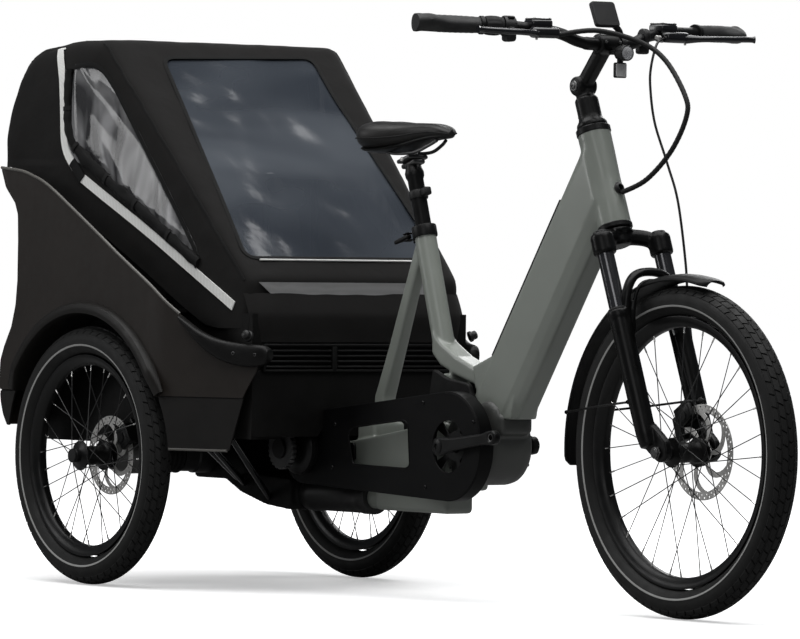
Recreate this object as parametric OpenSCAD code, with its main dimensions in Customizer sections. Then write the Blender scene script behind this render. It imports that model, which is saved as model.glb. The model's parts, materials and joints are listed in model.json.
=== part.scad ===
// Leaning electric cargo trike with a rear child and cargo cabin.
// X runs forward, Y to the rider's left, Z up. The origin is on the ground, in the middle of the trike.

/* [Wheels] */
// Distance from the rear axle to the front axle
wheelbase = 1482; // [1440:1:1520]
// Distance between the two rear wheels' centre planes
rear_track = 668; // [660:1:680]
// Outer radius of the front tyre
front_wheel_r = 310; // [306:1:312]
// Outer radius of the rear tyres
rear_wheel_r = 260; // [256:1:262]
// Width of every tyre
tyre_w = 60; // [54:1:60]
// Bead seat radius of the front rim
front_bead_r = 254; // [252:1:256]
// Bead seat radius of the rear rims
rear_bead_r = 203; // [202:1:205]
// Spokes in each wheel
spoke_count = 32; // [24:4:36]

/* [Steering] */
// Angle of the steering axis from the vertical
steer_tilt = 21; // [20:0.5:22]
// Length of the head tube
head_len = 205; // [195:1:210]
// Outer radius of the head tube
head_r = 31; // [29:0.5:32]
// Sideways distance from the middle to each fork leg
fork_leg_y = 68; // [66:1:70]
// Radius of the fork's sliding tubes
stanchion_r = 16; // [15:0.5:16]
// Sideways distance from the middle to the end of each grip
bar_half_w = 385; // [375:1:390]
// Radius of the handlebar
bar_r = 11.1; // [11:0.1:12]

/* [Frame] */
// Height of the tilt axis above the ground
tilt_z = 190; // [188:1:194]
// Height of the crank axis above the ground
crank_z = 303; // [300:1:306]
// Distance from the rear axle to the crank axis
crank_x = 872; // [868:1:876]
// Length of each crank arm between its axes
crank_len = 170; // [160:5:175]
// Radius of the pedal thread's hole
pedal_hole_r = 7.14; // [7:0.01:7.2]
// Angle of the seat tube from the vertical
seat_tilt = 17.3; // [16.5:0.1:18]
// Radius of the seatpost
seatpost_r = 15.8; // [15:0.1:16]

/* [Belt drive] */
// Pitch radius of the crank's belt pulley
front_pulley_r = 87; // [84:1:88]
// Pitch radius of the gear hub's belt pulley
rear_pulley_r = 42; // [40:1:44]
// Width of the belt
belt_w = 11; // [9:1:12]

/* [Cabin] */
// Distance from the rear axle back to the end of the canopy
cabin_rear = 330; // [325:1:335]
// Half the width of the cabin's outer panels
panel_half_w = 355; // [352:1:358]
// Half the width of the tub between the wheels
tub_half_w = 262; // [256:1:264]
// Underside of the tub
tub_z = 305; // [303:1:310]
// Top of the canopy
roof_z = 1100; // [1090:1:1105]
// Thickness of the panels
panel_t = 5; // [4:1:6]

/* [Hidden] */
$fn = 64;

frame_grey = [0.52, 0.55, 0.51];
shell_black = [0.09, 0.085, 0.08];
fabric_black = [0.10, 0.10, 0.10];
gloss_black = [0.05, 0.05, 0.05];
steel = [0.70, 0.70, 0.70];
clear = [0.55, 0.60, 0.66, 0.4];

// Places that follow from the driving dimensions
rear_x = -(wheelbase + front_wheel_r - cabin_rear) / 2;
wheel_y = rear_track / 2;
tyre_r = tyre_w / 2;
run_gap = 0.05;
rim_h = 14;
rim_w = 36;
spoke_r = 1.1;
head_x = 1268;
head_z = 722;
axle_fwd = (wheelbase - head_x) * cos(steer_tilt) + (front_wheel_r - head_z) * sin(steer_tilt);
axle_drop = -(wheelbase - head_x) * sin(steer_tilt) + (front_wheel_r - head_z) * cos(steer_tilt);
leg_fwd = 36;
bar_fwd = 92;
bar_up = 340;
stem_pivot_up = 291;
seat_x = 735;
seat_z = 490;
seat_tube_len = 240;
hub_x = 395;
hub_z = 285;
hub_r = 52;
belt_y = -72;
rotor_t = 2;
front_rotor_r = 90;
rear_rotor_r = 80;
front_rotor_y = 42.5;
rear_rotor_y = wheel_y - 46;
stub_r = 10;
front_axle_r = 7.5;
arch_r = 285;
canopy_round = 20;
slope_top = [-40, roof_z - canopy_round];
slope_low = [420, 612];
slope_angle = atan2(slope_top[1] - slope_low[1], slope_low[0] - slope_top[0]);

// Moves a shape from the rear axle's place on the ground to the part's own frame
module trike() { translate([rear_x, 0, 0]) children(); }

// Turns a wheel made about Z so that it rolls, and puts it at an axle
module on_axle(x, y, z) { translate([x, y, z]) rotate([90, 0, 0]) children(); }

// The steering axis: local Z up the head tube from the crown race, local X forward
module on_steer() { trike() translate([head_x, 0, head_z]) rotate([0, -steer_tilt, 0]) children(); }

// The seat tube's axis: local Z up it from its foot
module on_seat() { trike() translate([seat_x, 0, seat_z]) rotate([0, -seat_tilt, 0]) children(); }

// The canopy's sloping front: local X down the slope, local Z out of it
module on_slope() {
    trike() translate([slope_top[0], 0, slope_top[1]]) rotate([0, slope_angle, 0])
        translate([0, 0, canopy_round]) children();
}

// A round rod between two points
module rod(a, b, r) {
    d = b - a;
    translate(a) rotate([0, acos(d[2] / norm(d)), atan2(d[1], d[0])]) cylinder(h = norm(d), r = r);
}

// Round rods along a list of points, with slightly fuller round joints
module rods(points, r) {
    last = len(points) - 2;
    for (i = [0:last]) {
        dir = unit(points[i + 1] - points[i]);
        rod(points[i] - (i > 0 ? 0.5 : 0) * r * dir, points[i + 1] + (i < last ? 0.5 : 0) * r * dir,
            r - 0.3 * (i % 2));
    }
}

// A plate in the XZ plane, from one Y to another
module plate(points, y0, y1) {
    translate([0, y1, 0]) rotate([90, 0, 0]) linear_extrude(y1 - y0) polygon(points);
}

module both_sides() {
    children();
    mirror([0, 1, 0]) children();
}

// Leaves a left-hand shape as it is, or turns it into its right-hand twin (side -1)
module to_side(side) {
    if (side > 0) children();
    else mirror([0, 1, 0]) children();
}

function flip_y(points) = [for (p = points) [p[0], -p[1], p[2]]];

function unit(v) = v / norm(v);

// A smooth curve through hand-placed points
function catmull(p, i, t) =
    let (a = p[max(i - 1, 0)], b = p[i], c = p[i + 1], d = p[min(i + 2, len(p) - 1)])
    0.5 * (2 * b + (c - a) * t + (2 * a - 5 * b + 4 * c - d) * t * t + (3 * b - 3 * c + d - a) * t * t * t);
function smooth(p, steps) = concat(
    [for (i = [0:len(p) - 2], k = [0:steps - 1]) catmull(p, i, k / steps)], [p[len(p) - 1]]);

// Straight runs between points, with each corner rounded off from trim before it to trim after it
function rounded(p, trim, steps) = concat(
    [p[0]],
    [for (i = [1:len(p) - 2], k = [0:steps])
        let (a = p[i] + trim * unit(p[i - 1] - p[i]), b = p[i] + trim * unit(p[i + 1] - p[i]), t = k / steps)
        (1 - t) * (1 - t) * a + 2 * t * (1 - t) * p[i] + t * t * b],
    [p[len(p) - 1]]);

// A tube along a path: one ring of flat sides at each of its points
module swept(path, r, sides = 8, lean = [0.3, 1, 0.2]) {
    n = len(path);
    dirs = [for (i = [0:n - 1]) unit(path[min(i + 1, n - 1)] - path[max(i - 1, 0)])];
    rings = [for (i = [0:n - 1])
        let (side = unit(cross(dirs[i], lean)), other = cross(dirs[i], side))
        for (k = [0:sides - 1])
            path[i] + r * (cos(k * 360 / sides) * side + sin(k * 360 / sides) * other)];
    walls = [for (i = [0:n - 2], k = [0:sides - 1])
        let (m = (k + 1) % sides)
        [i * sides + k, (i + 1) * sides + k, (i + 1) * sides + m, i * sides + m]];
    ends = [[for (k = [0:sides - 1]) k], [for (k = [sides - 1:-1:0]) (n - 1) * sides + k]];
    polyhedron(rings, concat(walls, ends), convexity = 6);
}

// ---------------------------------------------------------------- wheels

module tyre(wheel_r, bead_r) {
    rotate_extrude($fn = 96) difference() {
        translate([wheel_r - tyre_r, 0]) circle(r = tyre_r);
        translate([bead_r - 60, -tyre_w]) square([60, 2 * tyre_w]);
    }
}

module rim(bead_r) {
    rotate_extrude($fn = 96) polygon([
        [bead_r - rim_h, -8], [bead_r - rim_h + 5, -rim_w / 2 + 2], [bead_r, -rim_w / 2],
        [bead_r, rim_w / 2], [bead_r - rim_h + 5, rim_w / 2 - 2], [bead_r - rim_h, 8]]);
}

// Straight spokes from two hub flanges; each one seats 1 mm into the flange and the rim
module spokes(bead_r, flange_r, flange_y) {
    for (i = [0:spoke_count - 1]) {
        side = i % 2 == 0 ? 1 : -1;
        rotate([0, 0, i * 360 / spoke_count])
            rod([flange_r - 1, 0, side * flange_y], [bead_r - rim_h + 1, 0, side * 4], spoke_r);
    }
}

module hub(body_r, flange_r, flange_y, half_len, bore_r) {
    difference() {
        union() {
            cylinder(h = 2 * flange_y, r = body_r, center = true);
            cylinder(h = 2 * half_len, r = body_r * 0.7, center = true);
            for (s = [-1, 1]) translate([0, 0, s * flange_y]) cylinder(h = 4, r = flange_r, center = true);
        }
        cylinder(h = 2 * half_len + 2, r = bore_r, center = true);
    }
}

module rotor(r, bore) {
    difference() {
        cylinder(h = rotor_t, r = r, center = true);
        cylinder(h = rotor_t + 2, r = bore, center = true);
        for (i = [0:5]) rotate([0, 0, i * 60]) translate([r * 0.56, 0, 0])
            cylinder(h = rotor_t + 2, r = r * 0.19, center = true);
    }
}

rear_flange_r = 30;
rear_flange_y = 28;
front_flange_r = 28;
front_flange_y = 30;
hub_body_r = 20;

// One side's rear wheel parts; side is -1 on the right and 1 on the left
module rear_place(side) { trike() on_axle(0, side * wheel_y, rear_wheel_r) children(); }
module rear_tyre(side) { color(gloss_black) rear_place(side) tyre(rear_wheel_r, rear_bead_r); }
module rear_rim(side) { color(shell_black) rear_place(side) rim(rear_bead_r); }
module rear_spokes(side) {
    color(gloss_black) rear_place(side) spokes(rear_bead_r, rear_flange_r, rear_flange_y);
}
module rear_hub(side) {
    color(shell_black) rear_place(side)
        hub(hub_body_r, rear_flange_r, rear_flange_y, 44, stub_r + run_gap);
}
module rear_rotor(side) {
    color(steel) trike() on_axle(0, side * rear_rotor_y, rear_wheel_r)
        rotor(rear_rotor_r, hub_body_r * 0.7 + 0.5);
    color(shell_black) trike() on_axle(0, side * (wheel_y - 40), rear_wheel_r) difference() {
        cylinder(h = 10, r = 26, center = true);
        cylinder(h = 12, r = hub_body_r * 0.7, center = true);
    }
}

module rear_tyre_right() { rear_tyre(-1); }
module rear_rim_right() { rear_rim(-1); }
module rear_spokes_right() { rear_spokes(-1); }
module rear_hub_right() { rear_hub(-1); }
module rear_rotor_right() { rear_rotor(-1); }
module rear_tyre_left() { rear_tyre(1); }
module rear_rim_left() { rear_rim(1); }
module rear_spokes_left() { rear_spokes(1); }
module rear_hub_left() { rear_hub(1); }
module rear_rotor_left() { rear_rotor(1); }

module front_place() { trike() on_axle(wheelbase, 0, front_wheel_r) children(); }
module front_tyre() { color(gloss_black) front_place() tyre(front_wheel_r, front_bead_r); }
module front_rim() { color(shell_black) front_place() rim(front_bead_r); }
module front_spokes() {
    color(gloss_black) front_place() spokes(front_bead_r, front_flange_r, front_flange_y);
}
module front_hub() {
    color(shell_black) front_place()
        hub(hub_body_r, front_flange_r, front_flange_y, 49, front_axle_r + run_gap);
}
module front_rotor() {
    color(steel) trike() on_axle(wheelbase, front_rotor_y, front_wheel_r)
        rotor(front_rotor_r, hub_body_r * 0.7 + 0.5);
    color(shell_black) trike() on_axle(wheelbase, 37, front_wheel_r) difference() {
        cylinder(h = 9, r = 24, center = true);
        cylinder(h = 11, r = hub_body_r * 0.7, center = true);
    }
}

// ---------------------------------------------------------------- chassis

housing_r = 38;
housing_half = wheel_y - 60;

module axle_housing() {
    color([0.35, 0.35, 0.36]) trike() {
        difference() {
            on_axle(0, 0, rear_wheel_r) cylinder(h = 2 * housing_half, r = housing_r, center = true);
            translate([0, 0, rear_wheel_r]) cube([120, 96, 120], center = true);
        }
        both_sides() {
            on_axle(0, housing_half + 6, rear_wheel_r) cylinder(h = 12, r = 30, center = true);
            on_axle(0, wheel_y - 2, rear_wheel_r) cylinder(h = 100, r = stub_r, center = true);
            on_axle(0, wheel_y + 47.5, rear_wheel_r) cylinder(h = 5, r = 14, center = true);
        }
    }
}

tilt_tube_r = 34;
tilt_shaft_r = 22;
tilt_tube_x0 = 270;
tilt_tube_x1 = 515;

module tilt_beam() {
    color(gloss_black) trike() difference() {
        union() {
            plate([[-52, 212], [-52, 300], [60, 300], [130, 235], [200, 222],
                   [tilt_tube_x0 + 20, tilt_z + 30],
                   [tilt_tube_x0 + 20, tilt_z - 33], [200, 165], [110, 188], [60, 212]], -48, 48);
            translate([tilt_tube_x0, 0, tilt_z]) rotate([0, 90, 0])
                cylinder(h = tilt_tube_x1 - tilt_tube_x0, r = tilt_tube_r);
        }
        translate([tilt_tube_x0 + 30, 0, tilt_z]) rotate([0, 90, 0])
            cylinder(h = tilt_tube_x1 - tilt_tube_x0, r = tilt_shaft_r + run_gap);
    }
}

tub_x0 = -240;
tub_x1 = 455;
tub_top = 552;
tunnel_x0 = 290;
tunnel_half = 190;
tunnel_z = 412;
wall = 6;
ledge_x1 = 245;

module tunnel_room() {
    translate([tunnel_x0, -tunnel_half, tub_z - 10]) cube([200, 2 * tunnel_half, tunnel_z - tub_z + 10]);
}

module cabin_tub() {
    color(shell_black) trike() {
        difference() {
            translate([tub_x0, -tub_half_w, tub_z]) cube([tub_x1 - tub_x0, 2 * tub_half_w, tub_top - tub_z]);
            translate([tub_x0 + wall, -tub_half_w + wall, tub_z + wall])
                cube([tub_x1 - tub_x0 - 2 * wall, 2 * (tub_half_w - wall), tub_top]);
            tunnel_room();
        }
        difference() {
            translate([tunnel_x0 - wall, -tunnel_half - wall, tub_z + wall])
                cube([tub_x1 - tunnel_x0 - 0.1, 2 * (tunnel_half + wall), tunnel_z - tub_z]);
            tunnel_room();
        }
        both_sides() translate([tub_x0, tub_half_w - wall, tub_top])
            cube([ledge_x1 - tub_x0, panel_half_w - panel_t - tub_half_w + wall - 2.5, wall]);
    }
}

skirt_z = 282;
panel_corner_x = 250;
panel_front_x = 468;
panel_front_y = 268;
panel_profile = [
    [-322, 838], [-252, 752], [-252, 592], [-285, 500], [-316, 440], [-310, skirt_z],
    [panel_corner_x, skirt_z], [panel_corner_x, 590], [122, 660], [-24, 738], [-98, 778], [-173, 813],
    [-240, 833]];

panel_seam_z = 385;

// Outer shell of one side: flat side with a wheel arch, its lip and liner, and a slanted front corner
module side_panel(side) {
    front_len = norm([panel_front_x - panel_corner_x, panel_half_w - panel_front_y]);
    front_turn = atan2(panel_half_w - panel_front_y, panel_front_x - panel_corner_x);
    arch_inner_y = tub_half_w + 1;
    arch_outer_y = panel_half_w + 17;
    color(shell_black) trike() to_side(side) difference() {
        union() {
            plate(panel_profile, panel_half_w - panel_t, panel_half_w);
            translate([panel_corner_x, panel_half_w, 0]) rotate([0, 0, -front_turn])
                plate([[-3, skirt_z], [178, skirt_z], [214, 395], [front_len, 440], [front_len, 470],
                       [107, 519], [35, 560], [-3, 590]], -panel_t, 0);
            on_axle(0, (arch_outer_y + arch_inner_y) / 2, rear_wheel_r)
                cylinder(h = arch_outer_y - arch_inner_y, r = arch_r + 4, center = true);
            difference() {
                on_axle(0, panel_half_w + 5, rear_wheel_r) cylinder(h = 24.2, r = arch_r + 24, center = true);
                translate([-400, 0, -200]) cube([800, 500, panel_seam_z + 200]);
            }
        }
        on_axle(0, panel_half_w - 10, rear_wheel_r) cylinder(h = 160, r = arch_r, center = true);
        on_axle(0, arch_inner_y, rear_wheel_r) cylinder(h = 20, r = housing_r + 3, center = true);
        translate([-400, 0, -200]) cube([800, 500, skirt_z + 200]);
    }
}

module side_panel_right() { side_panel(-1); }
module side_panel_left() { side_panel(1); }

module rear_panel() {
    half = panel_half_w - panel_t;
    color(shell_black) trike()
        plate([[-322, 838], [-252, 752], [-252, 592], [-285, 500], [-316, 440], [-310, skirt_z],
               [-304, skirt_z], [-310, 438], [-279, 498], [-246, 590], [-246, 754], [-317, 841]],
              -half, half);
}

module corner_guards() {
    color(gloss_black) trike() both_sides() hull() {
        translate([492, -258, 500]) sphere(r = 16, $fn = 24);
        translate([478, -262, 470]) sphere(r = 14, $fn = 24);
        translate([470, -246, 520]) sphere(r = 14, $fn = 24);
        translate([272, -340, 565]) sphere(r = 9, $fn = 24);
        translate([282, -320, 575]) sphere(r = 8, $fn = 24);
    }
}

module vent_grille() {
    color(gloss_black) trike() difference() {
        translate([tub_x1, -238, 438]) cube([12, 476, 52]);
        for (s = [-1, 1], k = [0:3]) translate([tub_x1 - 1, s * 122 - 108, 446 + k * 10]) cube([14, 216, 5]);
    }
}

hoop_r = 8;
rear_hoop = [
    [-120, -300, 558], [-120, -299, 780], [-120, -291, 1000], [-120, -276, 1056], [-120, -238, 1075],
    [-120, 0, 1077],
    [-120, 238, 1075], [-120, 276, 1056], [-120, 291, 1000], [-120, 299, 780], [-120, 300, 558]];
front_hoop = [
    [417, -232, 540], [403, -235, 592], [184, -246, 826], [-18, -250, 1036], [-46, -226, 1062],
    [-48, 0, 1064],
    [-46, 226, 1062], [-18, 250, 1036], [184, 246, 826], [403, 235, 592], [417, 232, 540]];
module canopy_frame() {
    color([0.3, 0.3, 0.3]) trike() {
        swept(smooth(rear_hoop, 3), hoop_r, 12, [1, 0, 0]);
        swept(smooth(front_hoop, 3), hoop_r, 12, [1, 0, 1]);
    }
}

canopy_points = [
    [-331, 312, 700], [-331, 312, 900], [-327, 305, 955], [-305, 295, 1020], [-288, 288, 1043],
    [-261, 282, 1062],
    [slope_top[0], 272, slope_top[1]], [slope_low[0], 242, slope_low[1]], [slope_low[0], 242, 500]];

// The canopy's outer form, drawn in by an even distance
module canopy_form(inset) {
    hull() for (p = canopy_points, s = [-1, 1])
        translate([p[0], s * p[1], p[2]]) sphere(r = canopy_round - inset, $fn = 20);
}

module canopy_foot(drop) {
    plate([[-420, 842 - drop], [-322, 842 - drop], [-240, 838 - drop], [-173, 818 - drop], [-98, 783 - drop],
           [-24, 743 - drop], [122, 665 - drop], [250, 595 - drop], [300, 560 - drop], [340, 553 - drop],
           [460, 553 - drop], [460, 400], [-420, 400]], -400, 400);
}

side_window_outline = [
    [-140, 1030], [-80, 1046], [0, 1026], [95, 935], [185, 838], [262, 765], [322, 660], [250, 690],
    [-40, 852], [-128, 880]];
windshield_top_w = 157;
windshield_low_w = 232;
windshield_top = 55;
windshield_low = 612;

module windshield_outline() {
    polygon([[windshield_top, -windshield_top_w], [windshield_low, -windshield_low_w],
             [windshield_low, windshield_low_w], [windshield_top, windshield_top_w]]);
}

module window_cuts() {
    trike() both_sides() plate(side_window_outline, 225, 380);
    on_slope() translate([0, 0, -30]) linear_extrude(50) windshield_outline();
}

module canopy_fabric() {
    color(fabric_black) difference() {
        trike() difference() {
            canopy_form(0);
            canopy_form(4);
            canopy_foot(0);
        }
        window_cuts();
    }
}

module windows() {
    color(clear) intersection() {
        trike() difference() {
            canopy_form(1);
            canopy_form(3);
        }
        window_cuts();
    }
}

module seat_cushions() {
    color([0.16, 0.16, 0.17]) trike() {
        translate([-90, -232, 400]) cube([260, 464, 60]);
        plate([[-95, 400], [-150, 400], [-225, 900], [-175, 900]], -225, 225);
    }
}

module tail_lights() {
    color([0.6, 0.05, 0.05]) trike() both_sides()
        plate([[-252, 640], [-262, 640], [-262, 730], [-252, 730]], 260, 320);
}

module rear_calipers() {
    color(gloss_black) trike() both_sides() difference() {
        translate([52, rear_rotor_y - 22, rear_wheel_r + 8]) cube([44, 36, 56]);
        on_axle(0, rear_rotor_y, rear_wheel_r) cylinder(h = 3.2, r = rear_rotor_r + 1, center = true);
    }
}

// ---------------------------------------------------------------- leaning frame

head_bore_r = 17;

module head_tube() {
    color(frame_grey) on_steer() difference() {
        cylinder(h = head_len, r = head_r);
        translate([0, 0, -1]) cylinder(h = head_len + 2, r = head_bore_r + run_gap);
    }
}

down_tilt = 34.7;
down_half_w = 34;
down_profile = [
    [1190, 870], [1169, 831], [920, 471], [868, 455], [880, 405], [905, 358], [990, 358], [1025, 402],
    [1262, 745], [1240, 860]];
down_section = [
    [-90, 30], [0, 30], [8, down_half_w], [93, down_half_w], [127, 20],
    [127, -20], [93, -down_half_w], [8, -down_half_w], [0, -30], [-90, -30]];

module down_tube() {
    color(frame_grey) difference() {
        trike() intersection() {
            plate(down_profile, -50, 50);
            translate([920, 0, 471]) rotate([0, down_tilt, 0]) translate([0, 0, -200])
                linear_extrude(720) polygon(down_section);
        }
        on_steer() translate([0, 0, -20]) cylinder(h = head_len, r = head_r);
        on_steer() translate([0, -60, -40]) cube([90, 120, head_len]);
        motor_room();
    }
}

seat_tube_r = 21;
seat_bore_z = 15;

module seat_tube() {
    color(frame_grey) difference() {
        union() {
            on_seat() translate([0, 0, -10]) cylinder(h = seat_tube_len + 10, r = seat_tube_r);
            trike() plate([[718, 520], [765, 508], [800, 480], [867, 455], [874, 426], [800, 436],
                           [758, 452], [722, 480]], -26, 26);
        }
        on_seat() translate([0, 0, seat_bore_z]) cylinder(h = seat_tube_len, r = seatpost_r + run_gap);
    }
}

module seat_stays() {
    color(frame_grey) difference() {
        trike() {
            plate([[648, 688], [680, 676], [636, 583], [597, 484], [558, 385], [550, 310], [520, 308],
                   [526, 390], [563, 484], [603, 583]], -20, 20);
            plate([[498, 292], [556, 300], [556, 340], [506, 336]], -36, 36);
        }
        on_seat() cylinder(h = seat_tube_len, r = seat_tube_r);
        on_seat() translate([0, 0, 213.5]) cylinder(h = 27, r = 27);
    }
}

module chainstays() {
    color(frame_grey) trike() {
        both_sides()
            plate([[463, 270], [466, 290], [482, 300], [602, 318], [700, 330], [745, 340], [745, 250],
                   [690, 246], [490, 256], [470, 260]], 32, 54);
        difference() {
            translate([740, -54, 212]) cube([78, 108, 140]);
            on_axle(crank_x + 8, 0, crank_z) cylinder(h = 120, r = motor_r, center = true);
        }
        translate([758, -25, 350]) cube([30, 50, 92]);
        translate([560, -34, tilt_z - 22]) cube([230, 68, 45]);
        translate([tilt_tube_x0 + 40, 0, tilt_z]) rotate([0, 90, 0])
            cylinder(h = 560 - tilt_tube_x0 - 30, r = tilt_shaft_r);
    }
}

motor_r = 75;
spindle_r = 12;

// The motor's round body, which its neighbours leave room for
module motor_room() {
    trike() on_axle(crank_x + 8, 0, crank_z) cylinder(h = 116, r = motor_r, center = true);
}

module drive_motor() {
    color([0.08, 0.08, 0.08]) trike() difference() {
        union() {
            on_axle(crank_x + 8, 0, crank_z) cylinder(h = 116, r = motor_r, center = true);
            translate([crank_x - 40, -40, crank_z + 30]) cube([140, 80, 25]);
        }
        on_axle(crank_x, 0, crank_z) cylinder(h = 140, r = spindle_r + run_gap, center = true);
    }
}

module motor_cover() {
    color(shell_black) difference() {
        trike() both_sides()
            plate([[756, 452], [800, 434], [875, 424], [880, 405], [903, 382], [760, 358], [744, 400]],
                  down_half_w + 0.3, 46);
        motor_room();
    }
}

guard_front_r = 106;
guard_rear_r = 70;

module guard_outline(grow) {
    hull() {
        translate([crank_x, crank_z]) circle(r = guard_front_r + grow);
        translate([hub_x, hub_z]) circle(r = guard_rear_r + grow);
    }
}

// Turns a drawing of X and Z into a plate standing on the belt's side
module belt_side(y0, y1) {
    translate([0, y1, 0]) rotate([90, 0, 0]) linear_extrude(y1 - y0) children();
}

module belt_guard() {
    color(gloss_black) trike() {
        belt_side(-92, -89) difference() {
            guard_outline(0);
            translate([crank_x, crank_z]) circle(r = 50);
            polygon([[542, 320], [560, 330], [728, 350], [748, 262], [560, 258]]);
        }
        belt_side(-89, -62) difference() {
            guard_outline(0);
            guard_outline(-3);
            translate([100, 0]) square([340, 600]);
        }
    }
}

module drive_belt() {
    color([0.05, 0.05, 0.05]) trike() belt_side(belt_y - belt_w / 2, belt_y + belt_w / 2) difference() {
        hull() {
            translate([crank_x, crank_z]) circle(r = front_pulley_r + 4.5);
            translate([hub_x, hub_z]) circle(r = rear_pulley_r + 4.5);
        }
        hull() {
            translate([crank_x, crank_z]) circle(r = front_pulley_r + 0.5);
            translate([hub_x, hub_z]) circle(r = rear_pulley_r + 0.5);
        }
    }
}

driver_r = 20;

module gear_hub() {
    color(shell_black) trike() {
        on_axle(hub_x, 0, hub_z) cylinder(h = 92, r = hub_r, center = true);
        on_axle(hub_x, 0, hub_z) cylinder(h = 130, r = 8, center = true);
        on_axle(hub_x, (-60 - 84) / 2, hub_z) cylinder(h = 24, r = driver_r, center = true);
        both_sides() plate([[370, 264], [370, 306], [430, 306], [520, 298], [520, 264]], 54, 60);
    }
}

module seat_collar() {
    color(shell_black) on_seat() {
        difference() {
            translate([0, 0, 214]) cylinder(h = 26, r = 26.5);
            translate([0, 0, 200]) cylinder(h = 60, r = seat_tube_r);
        }
        translate([-46, -8, 219]) cube([21, 16, 16]);
        for (z = [219, 232.5]) translate([-42, -22, z]) cube([12, 16, 2.5]);
        translate([-36, -16, 219]) cylinder(h = 16, r = 3);
    }
}

module seat_lever() {
    color(steel) on_seat() difference() {
        union() {
            translate([-36, -16, 222]) cylinder(h = 10, r = 6);
            translate([-94, -22, 223]) cube([58, 6, 8]);
        }
        translate([-36, -16, 215]) cylinder(h = 24, r = 3 + run_gap);
    }
}

// ---------------------------------------------------------------- crank and pulleys

crank_rise = 7.5;

module pulley(r, bore, width, holes) {
    difference() {
        cylinder(h = width, r = r, center = true);
        cylinder(h = width + 2, r = bore, center = true);
        for (i = [0:1:holes - 1]) rotate([0, 0, i * 360 / holes]) translate([r * 0.6, 0, 0])
            cylinder(h = width + 2, r = r * 0.22, center = true);
    }
}

module front_pulley() {
    color(gloss_black) trike() on_axle(crank_x, belt_y, crank_z) pulley(front_pulley_r, spindle_r, 13, 5);
}

module rear_pulley() {
    color(steel) trike() on_axle(hub_x, belt_y, hub_z) pulley(rear_pulley_r, driver_r + run_gap, 12, 0);
}

// One crank arm along local X, with a threaded pedal hole through its far end
module crank_arm() {
    difference() {
        union() {
            cylinder(h = 14, r = 19);
            translate([0, -13, 0]) cube([crank_len, 26, 14]);
            translate([crank_len, 0, 0]) cylinder(h = 14, r = 15);
        }
        translate([crank_len, 0, -1]) cylinder(h = 16, r = pedal_hole_r);
    }
}

module crank_arms() {
    color(gloss_black) trike() translate([crank_x, 0, crank_z]) rotate([0, -crank_rise, 0]) {
        rotate([90, 0, 0]) cylinder(h = 212, r = spindle_r, center = true);
        translate([0, -104, 0]) rotate([90, 0, 0]) crank_arm();
        rotate([0, 180, 0]) translate([0, 118, 0]) rotate([90, 0, 0]) crank_arm();
    }
}

// ---------------------------------------------------------------- seatpost and saddle

module seatpost() {
    color(shell_black) on_seat() {
        translate([0, 0, 70]) cylinder(h = 304, r = seatpost_r);
        translate([-20, -16, 370]) cube([44, 32, 20]);
    }
}

rail_y = 20;

module saddle() {
    color([0.12, 0.12, 0.12]) trike() {
        hull() {
            for (s = [-1, 1]) {
                translate([533, s * 44, 904]) sphere(r = 27, $fn = 32);
                translate([604, s * 32, 908]) sphere(r = 24, $fn = 32);
            }
            translate([733, 0, 905]) sphere(r = 16, $fn = 32);
        }
        both_sides()
            swept(smooth([[556, rail_y, 896], [584, rail_y, 870], [664, rail_y, 872], [712, rail_y, 900]], 3),
                  3.5, 8, [0, 1, 0]);
    }
}

// ---------------------------------------------------------------- steering

stem_foot = head_len + 0.5;
steerer_top = 262;

module stem() {
    color(shell_black) on_steer() difference() {
        union() {
            translate([0, 0, stem_foot]) cylinder(h = 12, r = 29);
            translate([0, 0, stem_foot + 12]) cylinder(h = steerer_top + 6 - stem_foot - 12, r = 22);
            translate([0, 0, steerer_top]) cylinder(h = stem_pivot_up - steerer_top, r = 17);
            translate([0, 0, stem_pivot_up]) rotate([90, 0, 0]) cylinder(h = 40, r = 17, center = true);
            rod([0, 0, stem_pivot_up], [bar_fwd, 0, bar_up], 15);
            translate([bar_fwd, 0, bar_up]) rotate([90, 0, 0]) cylinder(h = 46, r = 20, center = true);
        }
        translate([0, 0, stem_foot - 1]) cylinder(h = steerer_top - stem_foot + 1, r = head_bore_r);
        translate([bar_fwd, 0, bar_up]) rotate([90, 0, 0]) cylinder(h = 60, r = bar_r, center = true);
    }
}

bar_x = head_x + bar_fwd * cos(steer_tilt) - bar_up * sin(steer_tilt);
bar_z = head_z + bar_fwd * sin(steer_tilt) + bar_up * cos(steer_tilt);
bar_mid = [bar_x, 0, bar_z];
bar_bend_in = [bar_x, -60, bar_z];
bar_bend_out = [bar_x - 8, -105, bar_z + 19];
bar_elbow = [bar_x - 31, -190, bar_z + 28];
bar_end = [bar_x - 86, -bar_half_w + 2, bar_z + 31];
grip_dir = unit(bar_end - bar_elbow);
grip_r = 16;
grip_len = 128;

function along_grip(d) = bar_end - d * grip_dir;

module handlebar() {
    right = [bar_end, bar_elbow, bar_bend_out, bar_bend_in];
    left = flip_y([bar_bend_in, bar_bend_out, bar_elbow, bar_end]);
    color(shell_black) trike() swept(rounded(concat(right, left), 16, 4), bar_r, 32, [1, 0, 0.2]);
}

module grips() {
    color([0.08, 0.08, 0.08]) trike() both_sides() {
        difference() {
            rod(along_grip(-3), along_grip(grip_len), grip_r);
            rod(along_grip(0), along_grip(grip_len + 5), bar_r);
        }
    }
}

shifter_start = grip_len + 1;
shifter_len = 44;

module twist_shifter() {
    color([0.08, 0.08, 0.08]) trike() difference() {
        rod(along_grip(shifter_start), along_grip(shifter_start + shifter_len), 18);
        rod(along_grip(shifter_start - 5), along_grip(shifter_start + shifter_len + 5), bar_r + run_gap);
    }
}

lever_pivot = [bar_x + 16, -178, bar_z + 14];
lever_pin_r = 2.5;

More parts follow.
